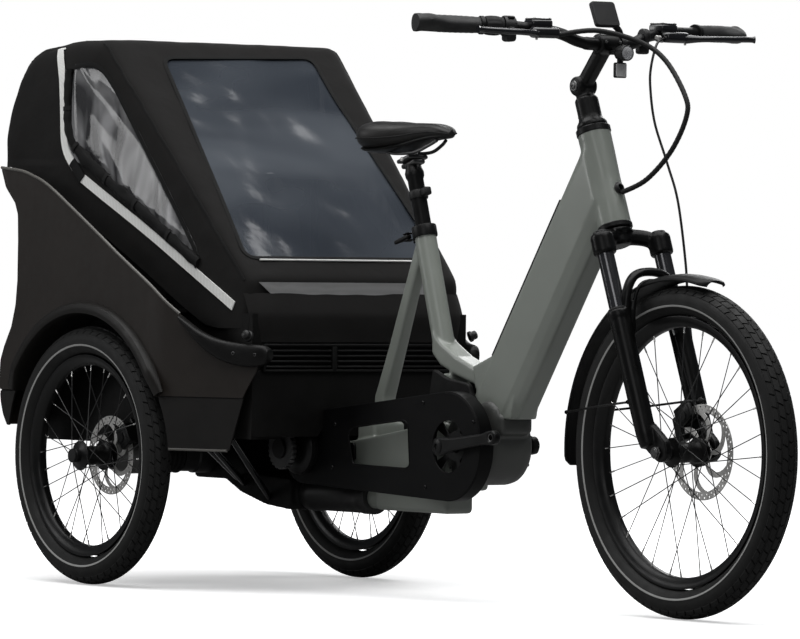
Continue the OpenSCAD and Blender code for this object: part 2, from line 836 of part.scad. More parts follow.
module lever_mounts() {
    color(gloss_black) trike() both_sides() difference() {
        union() {
            translate([bar_x - 38, -170, bar_z + 10]) cube([46, 44, 30]);
            translate([bar_x, -188, bar_z + 3]) cube([26, 62, 22]);
        }
        rods([bar_end, bar_elbow, bar_bend_out, bar_bend_in], bar_r + 0.3);
        translate([lever_pivot[0] - 8, lever_pivot[1] - 12, lever_pivot[2] - 5.5]) cube([30, 22, 11]);
    }
    color(steel) trike() both_sides() translate([lever_pivot[0], lever_pivot[1], lever_pivot[2] - 11])
        cylinder(h = 22, r = lever_pin_r);
}

module brake_lever(side) {
    color(gloss_black) trike() to_side(-side) difference() {
        union() {
            translate(lever_pivot - [0, 0, 5]) cylinder(h = 10, r = 7);
            rods([lever_pivot, lever_pivot + [22, -50, 1], lever_pivot + [20, -150, 3]], 4.5);
        }
        translate(lever_pivot - [0, 0, 12]) cylinder(h = 24, r = lever_pin_r + run_gap);
    }
}

module brake_lever_right() { brake_lever(-1); }
module brake_lever_left() { brake_lever(1); }

module display() {
    color([0.1, 0.1, 0.11]) trike() {
        translate([bar_x - 6, 0, bar_z + 56]) rotate([0, -25, 0]) cube([10, 56, 50], center = true);
        difference() {
            union() {
                translate([bar_x, 34, bar_z]) rotate([90, 0, 0]) cylinder(h = 10, r = 16, center = true);
                rod([bar_x, 34, bar_z + 13], [bar_x - 3, 20, bar_z + 50], 5);
            }
            translate([bar_x, 34, bar_z]) rotate([90, 0, 0]) cylinder(h = 20, r = bar_r, center = true);
        }
    }
}

lamp_x = bar_x + 36;
lamp_z = bar_z - 18;

module headlight() {
    color(gloss_black) trike() {
        translate([lamp_x, 0, lamp_z]) rotate([0, 90, 0]) cylinder(h = 30, r = 15);
        translate([lamp_x + 4, -14, lamp_z - 46]) cube([6, 28, 28]);
        translate([lamp_x + 5, -5, lamp_z - 20]) cube([4, 10, 10]);
        translate([bar_x + 19, -6, lamp_z - 4]) cube([20, 12, 8]);
    }
}

crown_low = -62;

module fork_crown() {
    color(gloss_black) on_steer() {
        translate([0, 0, -20]) cylinder(h = steerer_top + 20, r = head_bore_r);
        translate([0, 0, -12]) cylinder(h = 11, r = head_r);
        both_sides() hull() {
            translate([0, 0, -40]) cylinder(h = 30, r = 24, $fn = 32);
            translate([leg_fwd, fork_leg_y, crown_low]) cylinder(h = 40, r = 22, $fn = 32);
        }
        both_sides() translate([leg_fwd, fork_leg_y, -300]) cylinder(h = 262, r = stanchion_r);
    }
}

lower_r = 20.5;
lower_top = -140;
lower_foot = -445;

module fork_lowers() {
    color(gloss_black) on_steer() {
        difference() {
            union() {
                both_sides() {
                    translate([leg_fwd, fork_leg_y, lower_foot])
                        cylinder(h = lower_top - lower_foot, r = lower_r);
                    translate([leg_fwd, fork_leg_y, lower_top - 14]) cylinder(h = 14, r = 23);
                    plate([[20, -400], [52, -400], [80, -450], [78, -478], [48, -482], [18, -440]], 51, 66);
                }
                swept(smooth([[leg_fwd + 6, -62, -168], [58, -54, -134], [66, -34, -114], [66, 34, -114],
                              [58, 54, -134], [leg_fwd + 6, 62, -168]], 3), 8, 12, [1, 0, 0.4]);
                translate([-20, 30, -430]) cube([42, 30, 58]);
            }
            both_sides() translate([leg_fwd, fork_leg_y, -410]) cylinder(h = 300, r = stanchion_r + run_gap);
            translate([axle_fwd, front_rotor_y, axle_drop]) rotate([90, 0, 0])
                cylinder(h = 3.2, r = front_rotor_r + 1, center = true);
        }
        translate([axle_fwd, 0, axle_drop]) rotate([90, 0, 0])
            cylinder(h = 150, r = front_axle_r, center = true);
    }
}

fender_r = 330;
fender_start = 75;
fender_sweep = 111;

fender_edge_r = fender_r - 10;
stay_turn = 168;

// The wheel's own XY plane lies in the trike's XZ plane here
module front_fender() {
    color(gloss_black) front_place() {
        rotate([0, 0, fender_start]) rotate_extrude(angle = fender_sweep, $fn = 96) polygon([
            [fender_r - 8, -33], [fender_r - 1, -22], [fender_r + 2, 0], [fender_r - 1, 22],
            [fender_r - 8, 33],
            [fender_r - 11, 33], [fender_r - 4, 22], [fender_r - 1, 0], [fender_r - 4, -22],
            [fender_r - 11, -33]]);
        for (s = [-1, 1])
            rod([-84, 92, 66 * s],
                [fender_edge_r * cos(stay_turn), fender_edge_r * sin(stay_turn), 32 * s], 2.5);
    }
}

// ---------------------------------------------------------------- hoses

// Sleeve with the shift cable, the rear brake hose and the display's wire, from the bar to the head tube
sleeve_route = [
    [1245, -125.5, 1086], [1256, -40, 1096], [1300, 30, 1075], [1350, 50, 1040], [1408, 50, 975],
    [1416, 48, 935], [1388, 36, 872], [1338, 18, 818], [1281, 4, 793]];
// Hose from the left brake lever down the left fork leg to the front caliper
front_hose_route = [
    [1248, 125.5, 1086], [1262, 98, 1074], [1268, 80, 1030], [1272, 76, 990], [1284, 78, 925],
    [1310, 88, 850],
    [1334, 96, 777], [1352, 102, 660], [1362, 100, 585], [1376, 98, 520], [1392, 92, 445], [1398, 60, 378]];

module control_hoses() { color(gloss_black) trike() swept(smooth(sleeve_route, 3), 4.5); }
module front_brake_hose() { color(gloss_black) trike() swept(smooth(front_hose_route, 4), 2.5); }

// ---------------------------------------------------------------- assembly

axle_housing();
tilt_beam();
cabin_tub();
side_panel_right();
side_panel_left();
rear_panel();
corner_guards();
vent_grille();
canopy_frame();
canopy_fabric();
windows();
seat_cushions();
tail_lights();
rear_calipers();
rear_tyre_right();
rear_rim_right();
rear_spokes_right();
rear_hub_right();
rear_rotor_right();
rear_tyre_left();
rear_rim_left();
rear_spokes_left();
rear_hub_left();
rear_rotor_left();
head_tube();
down_tube();
seat_tube();
seat_stays();
chainstays();
drive_motor();
motor_cover();
belt_guard();
drive_belt();
gear_hub();
seat_collar();
seat_lever();
front_pulley();
crank_arms();
rear_pulley();
seatpost();
saddle();
stem();
handlebar();
grips();
lever_mounts();
display();
headlight();
fork_crown();
brake_lever_right();
brake_lever_left();
twist_shifter();
fork_lowers();
front_fender();
front_tyre();
front_rim();
front_spokes();
front_hub();
front_rotor();
control_hoses();
front_brake_hose();
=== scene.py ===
"""Looks of a leaning cargo tricycle: frame, cockpit, fork, wheels, drive and a rear cabin with a canopy.

Lengths are metres. Places are given from the rear axle's foot on the ground: X forward, Y to the rider's
left, Z up.
"""
import json
from math import atan2, copysign, cos, exp, hypot, pi, radians, sin, sqrt, tau

import bmesh
import bpy
from mathutils import Matrix, Vector, noise
from mathutils.bvhtree import BVHTree


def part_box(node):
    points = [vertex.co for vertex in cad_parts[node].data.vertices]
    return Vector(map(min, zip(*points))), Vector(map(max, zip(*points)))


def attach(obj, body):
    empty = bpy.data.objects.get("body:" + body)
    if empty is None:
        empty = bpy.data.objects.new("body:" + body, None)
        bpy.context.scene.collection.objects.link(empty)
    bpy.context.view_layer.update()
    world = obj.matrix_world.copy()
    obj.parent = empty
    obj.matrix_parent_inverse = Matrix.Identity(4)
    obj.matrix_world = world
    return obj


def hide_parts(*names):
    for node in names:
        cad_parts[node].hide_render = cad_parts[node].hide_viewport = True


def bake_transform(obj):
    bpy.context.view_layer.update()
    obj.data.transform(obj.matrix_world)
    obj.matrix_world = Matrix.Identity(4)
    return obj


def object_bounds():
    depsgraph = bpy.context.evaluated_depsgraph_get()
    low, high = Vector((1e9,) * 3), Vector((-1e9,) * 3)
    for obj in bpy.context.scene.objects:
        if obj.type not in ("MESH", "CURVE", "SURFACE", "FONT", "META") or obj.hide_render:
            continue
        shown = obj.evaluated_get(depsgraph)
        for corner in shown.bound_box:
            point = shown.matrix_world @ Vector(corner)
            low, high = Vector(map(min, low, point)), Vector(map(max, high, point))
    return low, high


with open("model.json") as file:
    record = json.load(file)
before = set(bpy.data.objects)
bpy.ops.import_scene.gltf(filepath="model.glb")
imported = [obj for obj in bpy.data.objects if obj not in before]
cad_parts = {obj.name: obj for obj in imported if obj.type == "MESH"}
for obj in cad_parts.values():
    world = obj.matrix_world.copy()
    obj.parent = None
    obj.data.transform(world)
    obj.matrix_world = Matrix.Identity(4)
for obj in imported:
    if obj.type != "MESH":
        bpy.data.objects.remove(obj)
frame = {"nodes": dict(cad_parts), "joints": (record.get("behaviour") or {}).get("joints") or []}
cad_box = [list(corner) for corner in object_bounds()]
joints = {j["name"]: j for j in frame["joints"]}


# ---------------------------------------------------------------- places


def pivot(joint):
    return Vector(joints[joint]["pos_m"])


def axes_at(origin, up):
    """A matrix whose local Z is up, whose local Y is the world's Y and whose local X points forward."""
    up = Vector(up).normalized()
    side = Vector((0, 1, 0))
    forward = side.cross(up)
    turn = Matrix((forward, side, up)).transposed().to_4x4()
    return Matrix.Translation(origin) @ turn


REAR_AXLE = pivot("rear_right_spin")
FRONT_AXLE = pivot("front_wheel_spin")
CRANK = pivot("crank_spin")
HUB = pivot("hub_pulley_spin")
DATUM = Vector((REAR_AXLE.x, 0, 0))
STEER = axes_at(pivot("steering"), joints["steering"]["axis"])


def at(x, y, z):
    return DATUM + Vector((x, y, z))


SEAT = axes_at(at(0.735, 0, 0.490), joints["seatpost_slide"]["axis"])


def local(matrix, x, y, z):
    return matrix @ Vector((x, y, z))

# Turns that lay a local Z to the rider's right, to the left and forward
Z_RIGHT = Matrix.Rotation(pi / 2, 4, "X")
Z_LEFT = Matrix.Rotation(-pi / 2, 4, "X")
Z_FORWARD = Matrix.Rotation(pi / 2, 4, "Y")
SIDES = (("right", -1), ("left", 1))


# ---------------------------------------------------------------- camera and light

CAMERA_PLACE = at(10.575, -7.356, 0.669)
CAMERA_YAW = radians(53.63)
CAMERA_DROP = radians(0.58)
CAMERA_ROLL = radians(0.66)
CAMERA_LENS = 283.5


def make_camera():
    camera = bpy.data.objects.new("camera", bpy.data.cameras.new("camera"))
    camera.data.lens = CAMERA_LENS
    camera.data.clip_end = 200
    forward = Vector((-sin(CAMERA_YAW) * cos(CAMERA_DROP),
                      cos(CAMERA_YAW) * cos(CAMERA_DROP), -sin(CAMERA_DROP)))
    level = Vector((cos(CAMERA_YAW), sin(CAMERA_YAW), 0))
    above = level.cross(forward)
    right = level * cos(CAMERA_ROLL) + above * sin(CAMERA_ROLL)
    up = -level * sin(CAMERA_ROLL) + above * cos(CAMERA_ROLL)
    turn = Matrix((right, up, -forward)).transposed().to_4x4()
    camera.matrix_world = Matrix.Translation(CAMERA_PLACE) @ turn
    bpy.context.scene.collection.objects.link(camera)
    bpy.context.scene.camera = camera


def area_light(name, place, target, size, power):
    light = bpy.data.objects.new(name, bpy.data.lights.new(name, "AREA"))
    light.data.shape = "RECTANGLE"
    light.data.size, light.data.size_y = size
    light.data.energy = power
    light.location = place
    light.rotation_euler = (Vector(target) - Vector(place)).to_track_quat("-Z", "Y").to_euler()
    bpy.context.scene.collection.objects.link(light)


def floor_material():
    """White paper: it glows a little where the camera sees it, and reflects less light onto the object."""
    material = bpy.data.materials.new("floor_paper")
    material.use_nodes = True
    nodes, links = material.node_tree.nodes, material.node_tree.links
    nodes.clear()
    out = nodes.new("ShaderNodeOutputMaterial")
    seen = nodes.new("ShaderNodeBsdfDiffuse")
    seen.inputs["Color"].default_value = (0.93, 0.93, 0.93, 1)
    dark = nodes.new("ShaderNodeBsdfDiffuse")
    dark.inputs["Color"].default_value = (0.28, 0.28, 0.28, 1)
    glow = nodes.new("ShaderNodeEmission")
    place = nodes.new("ShaderNodeTexCoord")
    length = nodes.new("ShaderNodeVectorMath")
    length.operation = "LENGTH"
    spread = nodes.new("ShaderNodeMapRange")
    spread.inputs["From Min"].default_value = 0.9
    spread.inputs["From Max"].default_value = 2.6
    spread.inputs["To Min"].default_value = 0.40
    spread.inputs["To Max"].default_value = 1.0
    links.new(place.outputs["Object"], length.inputs[0])
    links.new(length.outputs["Value"], spread.inputs["Value"])
    links.new(spread.outputs[0], glow.inputs["Strength"])
    add = nodes.new("ShaderNodeAddShader")
    links.new(seen.outputs[0], add.inputs[0])
    links.new(glow.outputs[0], add.inputs[1])
    mix = nodes.new("ShaderNodeMixShader")
    path = nodes.new("ShaderNodeLightPath")
    links.new(path.outputs["Is Camera Ray"], mix.inputs[0])
    links.new(dark.outputs[0], mix.inputs[1])
    links.new(add.outputs[0], mix.inputs[2])
    links.new(mix.outputs[0], out.inputs["Surface"])
    return material


def make_studio():
    world = bpy.data.worlds.new("studio")
    bpy.context.scene.world = world
    world.use_nodes = True
    nodes, links = world.node_tree.nodes, world.node_tree.links
    nodes.clear()
    out = nodes.new("ShaderNodeOutputWorld")
    mix = nodes.new("ShaderNodeMixShader")
    path = nodes.new("ShaderNodeLightPath")
    fill = nodes.new("ShaderNodeBackground")
    fill.inputs["Color"].default_value = (0.8, 0.86, 0.95, 1)
    fill.inputs["Strength"].default_value = 0.075
    white = nodes.new("ShaderNodeBackground")
    white.inputs["Color"].default_value = (1, 1, 1, 1)
    links.new(path.outputs["Is Camera Ray"], mix.inputs[0])
    links.new(fill.outputs[0], mix.inputs[1])
    links.new(white.outputs[0], mix.inputs[2])
    links.new(mix.outputs[0], out.inputs["Surface"])
    area_light("top", (0.3, -0.3, 3.6), (0, 0, 0.3), (5.5, 4.0), 205)
    area_light("key", (3.6, -4.2, 2.6), (0.1, 0, 0.5), (2.2, 2.2), 22)
    area_light("side", (-3.2, -3.6, 2.0), (-0.3, 0, 0.6), (1.6, 2.2), 34)
    area_light("rim", (-2.2, 3.4, 2.6), (0, 0, 0.7), (2.4, 1.6), 40)
    floor = new_object("floor", [(-30, -30, 0), (30, -30, 0), (30, 30, 0), (-30, 30, 0)], [(0, 1, 2, 3)])
    floor.location.z = cad_box[0][2] - 0.0005
    floor.data.materials.append(floor_material())
    bpy.context.scene.view_settings.view_transform = "Standard"


# ---------------------------------------------------------------- mesh making


def new_object(name, points, faces):
    mesh = bpy.data.meshes.new(name)
    mesh.from_pydata([tuple(p) for p in points], [], faces)
    mesh.validate()
    obj = bpy.data.objects.new(name, mesh)
    bpy.context.scene.collection.objects.link(obj)
    return obj


def outward(obj):
    """Turns all faces of a mesh outwards."""
    bm = bmesh.new()
    bm.from_mesh(obj.data)
    bmesh.ops.recalc_face_normals(bm, faces=bm.faces)
    bm.to_mesh(obj.data)
    bm.free()
    return obj


def modified(obj, kind, **settings):
    """Applies one modifier to a mesh at once."""
    modifier = obj.modifiers.new(kind, kind)
    for key, value in settings.items():
        setattr(modifier, key, value)
    graph = bpy.context.evaluated_depsgraph_get()
    mesh = bpy.data.meshes.new_from_object(obj.evaluated_get(graph))
    obj.modifiers.clear()
    old = obj.data
    obj.data = mesh
    bpy.data.meshes.remove(old)
    return obj


def joined(name, parts):
    """One mesh object made of several; the parts go away."""
    bm = bmesh.new()
    for part in parts:
        part.data.transform(part.matrix_world)
        bm.from_mesh(part.data)
        bpy.data.objects.remove(part)
    obj = new_object(name, [], [])
    bm.to_mesh(obj.data)
    bm.free()
    return obj


def shaded(obj, angle=35):
    for face in obj.data.polygons:
        face.use_smooth = True
    obj.data.set_sharp_from_angle(angle=radians(angle))
    return obj


def loft(name, rings, closed=True, capped=True):
    """A skin through rings of equally many points; closed joins each ring's ends."""
    count = len(rings[0])
    points = [p for ring in rings for p in ring]
    span = count if closed else count - 1
    faces = [(i * count + k, i * count + (k + 1) % count, (i + 1) * count + (k + 1) % count,
              (i + 1) * count + k) for i in range(len(rings) - 1) for k in range(span)]
    if closed and capped:
        faces += [tuple(range(count))[::-1], tuple(range((len(rings) - 1) * count, len(rings) * count))]
    skin = new_object(name, points, faces)
    return outward(skin) if closed and capped else skin


def smooth_path(points, steps=8):
    """A Catmull-Rom curve through given points."""
    points = [Vector(p) for p in points]
    path = []
    for i in range(len(points) - 1):
        a, b, c = points[max(i - 1, 0)], points[i], points[i + 1]
        d = points[min(i + 2, len(points) - 1)]
        for k in range(steps):
            t = k / steps
            path.append(0.5 * (2 * b + (c - a) * t + (2 * a - 5 * b + 4 * c - d) * t * t
                               + (3 * b - 3 * c + d - a) * t ** 3))
    return path + [points[-1]]


def tube(name, path, radius, sides=16, squash=1.0):
    """A tube along a path. radius is a number or a function of the share of the way."""
    path = [Vector(p) for p in path]
    rings = []
    last = len(path) - 1
    normal = None
    for i, point in enumerate(path):
        along = (path[min(i + 1, last)] - path[max(i - 1, 0)]).normalized()
        if normal is None:
            guess = Vector((0, 0, 1)) if abs(along.z) < 0.9 else Vector((1, 0, 0))
            normal = along.cross(guess).normalized()
        normal = (normal - along * normal.dot(along)).normalized()
        other = along.cross(normal)
        r = radius(i / last) if callable(radius) else radius
        rings.append([point + r * (normal * cos(tau * k / sides)
                                   + squash * other * sin(tau * k / sides)) for k in range(sides)])
    return loft(name, rings)


def lathe(name, profile, matrix=Matrix.Identity(4), segments=64):
    """Turns a profile of (radius, height) pairs about a matrix's local Z."""
    rings = []
    for k in range(segments):
        turn = tau * k / segments
        rings.append([matrix @ Vector((r * cos(turn), r * sin(turn), h)) for r, h in profile])
    count = len(profile)
    faces = [(k * count + i, ((k + 1) % segments) * count + i, ((k + 1) % segments) * count + i + 1,
              k * count + i + 1) for k in range(segments) for i in range(count - 1)]
    obj = new_object(name, [p for ring in rings for p in ring], faces)
    bm = bmesh.new()
    bm.from_mesh(obj.data)
    bmesh.ops.remove_doubles(bm, verts=bm.verts, dist=1e-6)
    bmesh.ops.recalc_face_normals(bm, faces=bm.faces)
    bm.to_mesh(obj.data)
    bm.free()
    return obj


def block(name, size, matrix=Matrix.Identity(4), round_by=0.002, segments=3):
    """A box with rounded edges, centred on a matrix."""
    bm = bmesh.new()
    bmesh.ops.create_cube(bm, size=1)
    for v in bm.verts:
        v.co = Vector((v.co.x * size[0], v.co.y * size[1], v.co.z * size[2]))
    if round_by:
        bmesh.ops.bevel(bm, geom=bm.edges[:], offset=round_by, segments=segments, profile=0.5,
                        affect="EDGES")
    obj = new_object(name, [], [])
    bm.to_mesh(obj.data)
    bm.free()
    obj.data.transform(matrix)
    return obj


def rod(name, a, b, radius, sides=24, round_by=0.0008):
    """A round bar with softened ends."""
    a, b = Vector(a), Vector(b)
    length = (b - a).length
    turn = (b - a).to_track_quat("Z", "Y").to_matrix().to_4x4()
    s = min(round_by, radius / 2)
    profile = [(0, 0), (radius - s, 0), (radius, s), (radius, length - s), (radius - s, length),
               (0, length)]
    return lathe(name, profile, Matrix.Translation(a) @ turn, sides)


def cross_rod(name, centre, half, radius, sides=24, round_by=0.0008):
    """A round bar from side to side, centred on a place."""
    return rod(name, centre - Vector((0, half, 0)), centre + Vector((0, half, 0)), radius, sides, round_by)


def bolt(name, place, direction, radius=0.003, height=0.003):
    """A button-head screw with a socket."""
    turn = Vector(direction).to_track_quat("Z", "Y").to_matrix().to_4x4()
    matrix = Matrix.Translation(place) @ turn
    profile = [(0, height * 0.4), (radius * 0.42, height * 0.4), (radius * 0.5, height),
               (radius * 0.8, height * 0.9), (radius, height * 0.35), (radius, -0.001), (0, -0.001)]
    return lathe(name, profile, matrix, 12)


def plate(name, outline, holes, thickness, matrix, round_by=0.0008, steps=2):
    """A flat plate from an outline and holes drawn in a matrix's local XY plane."""
    curve = bpy.data.curves.new(name, "CURVE")
    curve.dimensions = "2D"
    curve.fill_mode = "BOTH"
    curve.extrude = thickness / 2 - round_by
    curve.bevel_depth = round_by
    curve.bevel_resolution = steps
    curve.offset = -round_by
    for points in [outline] + list(holes):
        spline = curve.splines.new("POLY")
        spline.points.add(len(points) - 1)
        for p, q in zip(spline.points, points):
            p.co = (q[0], q[1], 0, 1)
        spline.use_cyclic_u = True
    draft = bpy.data.objects.new(name, curve)
    bpy.context.scene.collection.objects.link(draft)
    graph = bpy.context.evaluated_depsgraph_get()
    mesh = bpy.data.meshes.new_from_object(draft.evaluated_get(graph))
    bpy.data.objects.remove(draft)
    mesh.transform(matrix)
    obj = bpy.data.objects.new(name, mesh)
    bpy.context.scene.collection.objects.link(obj)
    return obj


def circle(radius, count=48, centre=(0, 0)):
    return [(centre[0] + radius * cos(tau * k / count),
             centre[1] + radius * sin(tau * k / count)) for k in range(count)]


def rounded(points, radius, steps=6):
    """A closed outline with each corner rounded off."""
    points = [Vector(p) for p in points]
    out = []
    for i, p in enumerate(points):
        before, after = points[i - 1], points[(i + 1) % len(points)]
        trim = min(radius, (before - p).length * 0.48, (after - p).length * 0.48)
        a = p + (before - p).normalized() * trim
        b = p + (after - p).normalized() * trim
        for k in range(steps + 1):
            t = k / steps
            out.append((1 - t) ** 2 * a + 2 * t * (1 - t) * p + t * t * b)
    return out


def side_plane(y):
    """A matrix whose local X and Y are the tricycle's X and Z, on the plane of one Y."""
    return Matrix.Translation(at(0, y, 0)) @ Z_RIGHT


def melted(name, parts, voxel, smoothing=8):
    """Welds overlapping solids into one skin with soft fillets."""
    obj = joined(name, parts)
    modified(obj, "REMESH", mode="VOXEL", voxel_size=voxel)
    modified(obj, "SMOOTH", factor=0.5, iterations=smoothing)
    return shaded(obj, 180)


def placed(obj, body, slot, material, *stands_for):
    """Gives a piece its material and body (none if it is blended), and hides the CAD nodes it stands for.
    slot is not used.
    """
    obj.data.materials.clear()
    obj.data.materials.append(material)
    if body:
        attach(obj, body)
    if stands_for:
        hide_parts(*stands_for)
    return obj


def put(name, parts, body, slot, material, *stands_for, angle=35):
    """Joins parts into one named piece, shades it and places it."""
    return placed(shaded(joined(name, parts), angle), body, slot, material, *stands_for)

# ---------------------------------------------------------------- materials


def node_tree(name):
    material = bpy.data.materials.new(name)
    material.use_nodes = True
    tree = material.node_tree
    shader = tree.nodes["Principled BSDF"]
    place = tree.nodes.new("ShaderNodeTexCoord").outputs["Object"]
    return material, tree, shader, place


def add_noise(tree, place, scale, detail=3.0, stretch=(1, 1, 1)):
    mapping = tree.nodes.new("ShaderNodeMapping")
    mapping.inputs["Scale"].default_value = stretch
    texture = tree.nodes.new("ShaderNodeTexNoise")
    texture.inputs["Scale"].default_value = scale
    texture.inputs["Detail"].default_value = detail
    tree.links.new(place, mapping.inputs["Vector"])
    tree.links.new(mapping.outputs[0], texture.inputs["Vector"])
    return texture.outputs["Fac"]


def add_range(tree, value, low, high, start=0.3, end=0.7):
    node = tree.nodes.new("ShaderNodeMapRange")
    node.inputs["From Min"].default_value = start
    node.inputs["From Max"].default_value = end
    node.inputs["To Min"].default_value = low
    node.inputs["To Max"].default_value = high
    tree.links.new(value, node.inputs["Value"])
    return node.outputs[0]


def add_mix(tree, share, first, second):
    node = tree.nodes.new("ShaderNodeMix")
    node.data_type = "RGBA"
    for socket, value in ((node.inputs[6], first), (node.inputs[7], second)):
        if isinstance(value, tuple):
            socket.default_value = (*value, 1)
        else:
            tree.links.new(value, socket)
    tree.links.new(share, node.inputs[0])
    return node.outputs[2]


def add_bump(tree, shader, height, strength, distance):
    node = tree.nodes.new("ShaderNodeBump")
    node.inputs["Strength"].default_value = strength
    node.inputs["Distance"].default_value = distance
    tree.links.new(height, node.inputs["Height"])
    if shader.inputs["Normal"].is_linked:
        tree.links.new(shader.inputs["Normal"].links[0].from_socket, node.inputs["Normal"])
    tree.links.new(node.outputs[0], shader.inputs["Normal"])


def scaled(color, factor):
    return tuple(min(1.0, c * factor) for c in color)


def plain(name, color, roughness, metallic=0.0, grain=(900, 0.1), tone=0.16, coat=0.0, specular=0.5,
          stretch=(1, 1, 1)):
    """A surface with a slow change of tone, smears in its gloss and a fine grain."""
    material, tree, shader, place = node_tree(name)
    slow = add_noise(tree, place, 9, 4.0)
    color_out = add_mix(tree, add_range(tree, slow, 0, 1), scaled(color, 1 - tone), scaled(color, 1 + tone))
    tree.links.new(color_out, shader.inputs["Base Color"])
    smear = add_noise(tree, place, 36, 5.0, stretch)
    tree.links.new(add_range(tree, smear, roughness * 0.85, min(1.0, roughness * 1.18)),
                   shader.inputs["Roughness"])
    shader.inputs["Metallic"].default_value = metallic
    shader.inputs["Specular IOR Level"].default_value = specular
    shader.inputs["Coat Weight"].default_value = coat
    shader.inputs["Coat Roughness"].default_value = 0.12
    if grain[1]:
        add_bump(tree, shader, add_noise(tree, place, grain[0], 2.0, stretch), grain[1], 0.0006)
    return material


def cloth(name, color, thread=0.0011, roughness=0.8, sheen=0.03, tone=0.2, bump=0.5, specular=0.12,
          contrast=1.5):
    """A woven cloth: threads two ways, with slow patches of tone and soft creases."""
    material, tree, shader, place = node_tree(name)
    heights = []
    for direction in ("X", "Y", "Z"):
        wave = tree.nodes.new("ShaderNodeTexWave")
        wave.bands_direction = direction
        wave.inputs["Scale"].default_value = 0.31 / thread
        wave.inputs["Distortion"].default_value = 0.4
        wave.inputs["Detail"].default_value = 1.0
        tree.links.new(place, wave.inputs["Vector"])
        heights.append(wave.outputs["Fac"])
    weave = heights[0]
    for other in heights[1:]:
        add = tree.nodes.new("ShaderNodeMath")
        add.operation = "MULTIPLY"
        tree.links.new(weave, add.inputs[0])
        tree.links.new(other, add.inputs[1])
        weave = add.outputs[0]
    slow = add_noise(tree, place, 7, 4.0)
    patch = add_mix(tree, add_range(tree, slow, 0, 1), scaled(color, 1 - tone), scaled(color, 1 + tone))
    threads = add_mix(tree, weave, patch, scaled(color, contrast))
    tree.links.new(threads, shader.inputs["Base Color"])
    tree.links.new(add_range(tree, slow, roughness - 0.08, roughness + 0.06), shader.inputs["Roughness"])
    shader.inputs["Sheen Weight"].default_value = sheen
    shader.inputs["Sheen Roughness"].default_value = 0.5
    shader.inputs["Specular IOR Level"].default_value = specular
    add_bump(tree, shader, add_noise(tree, place, 26, 4.0), 0.35, 0.004)
    add_bump(tree, shader, weave, bump, 0.0004)
    return material


def film(name, dark, light, alpha, reflection_scale, stretch, roughness=0.08):
    """A clear flexible film whose colour holds painted reflections: soft wavy light and dark patches, as a
    bent film mirrors a bright room.
    """
    material, tree, shader, place = node_tree(name)
    slow = add_noise(tree, place, reflection_scale, 2.0, stretch)
    slow.node.inputs["Distortion"].default_value = 1.4
    # Painted reflection: the base colour runs between the dark and the light colour in soft wavy patches.
    tree.links.new(add_mix(tree, add_range(tree, slow, 0, 1, 0.35, 0.68), dark, light),
                   shader.inputs["Base Color"])
    tree.links.new(add_range(tree, slow, roughness * 0.7, roughness * 1.6), shader.inputs["Roughness"])
    tree.links.new(add_range(tree, slow, alpha * 0.94, min(1, alpha * 1.08)), shader.inputs["Alpha"])
    shader.inputs["Specular IOR Level"].default_value = 0.5
    add_bump(tree, shader, add_noise(tree, place, 20, 2.0), 0.2, 0.002)
    return material


def ringed(name, color, roughness, band, band_color, **rest):
    """A plain surface with one painted ring, between two distances from the object's own Y axis."""
    material = plain(name, color, roughness, **rest)
    tree = material.node_tree
    shader = tree.nodes["Principled BSDF"]
    place = tree.nodes["Texture Coordinate"].outputs["Object"]
    flat = tree.nodes.new("ShaderNodeVectorMath")
    flat.operation = "MULTIPLY"
    flat.inputs[1].default_value = (1, 0, 1)
    length = tree.nodes.new("ShaderNodeVectorMath")
    length.operation = "LENGTH"
    inside = tree.nodes.new("ShaderNodeMath")
    inside.operation = "COMPARE"
    inside.inputs[1].default_value = (band[0] + band[1]) / 2
    inside.inputs[2].default_value = (band[1] - band[0]) / 2
    tree.links.new(place, flat.inputs[0])
    tree.links.new(flat.outputs[0], length.inputs[0])
    tree.links.new(length.outputs["Value"], inside.inputs[0])
    under = shader.inputs["Base Color"].links[0].from_socket
    tree.links.new(add_mix(tree, inside.outputs[0], under, band_color), shader.inputs["Base Color"])
    return material


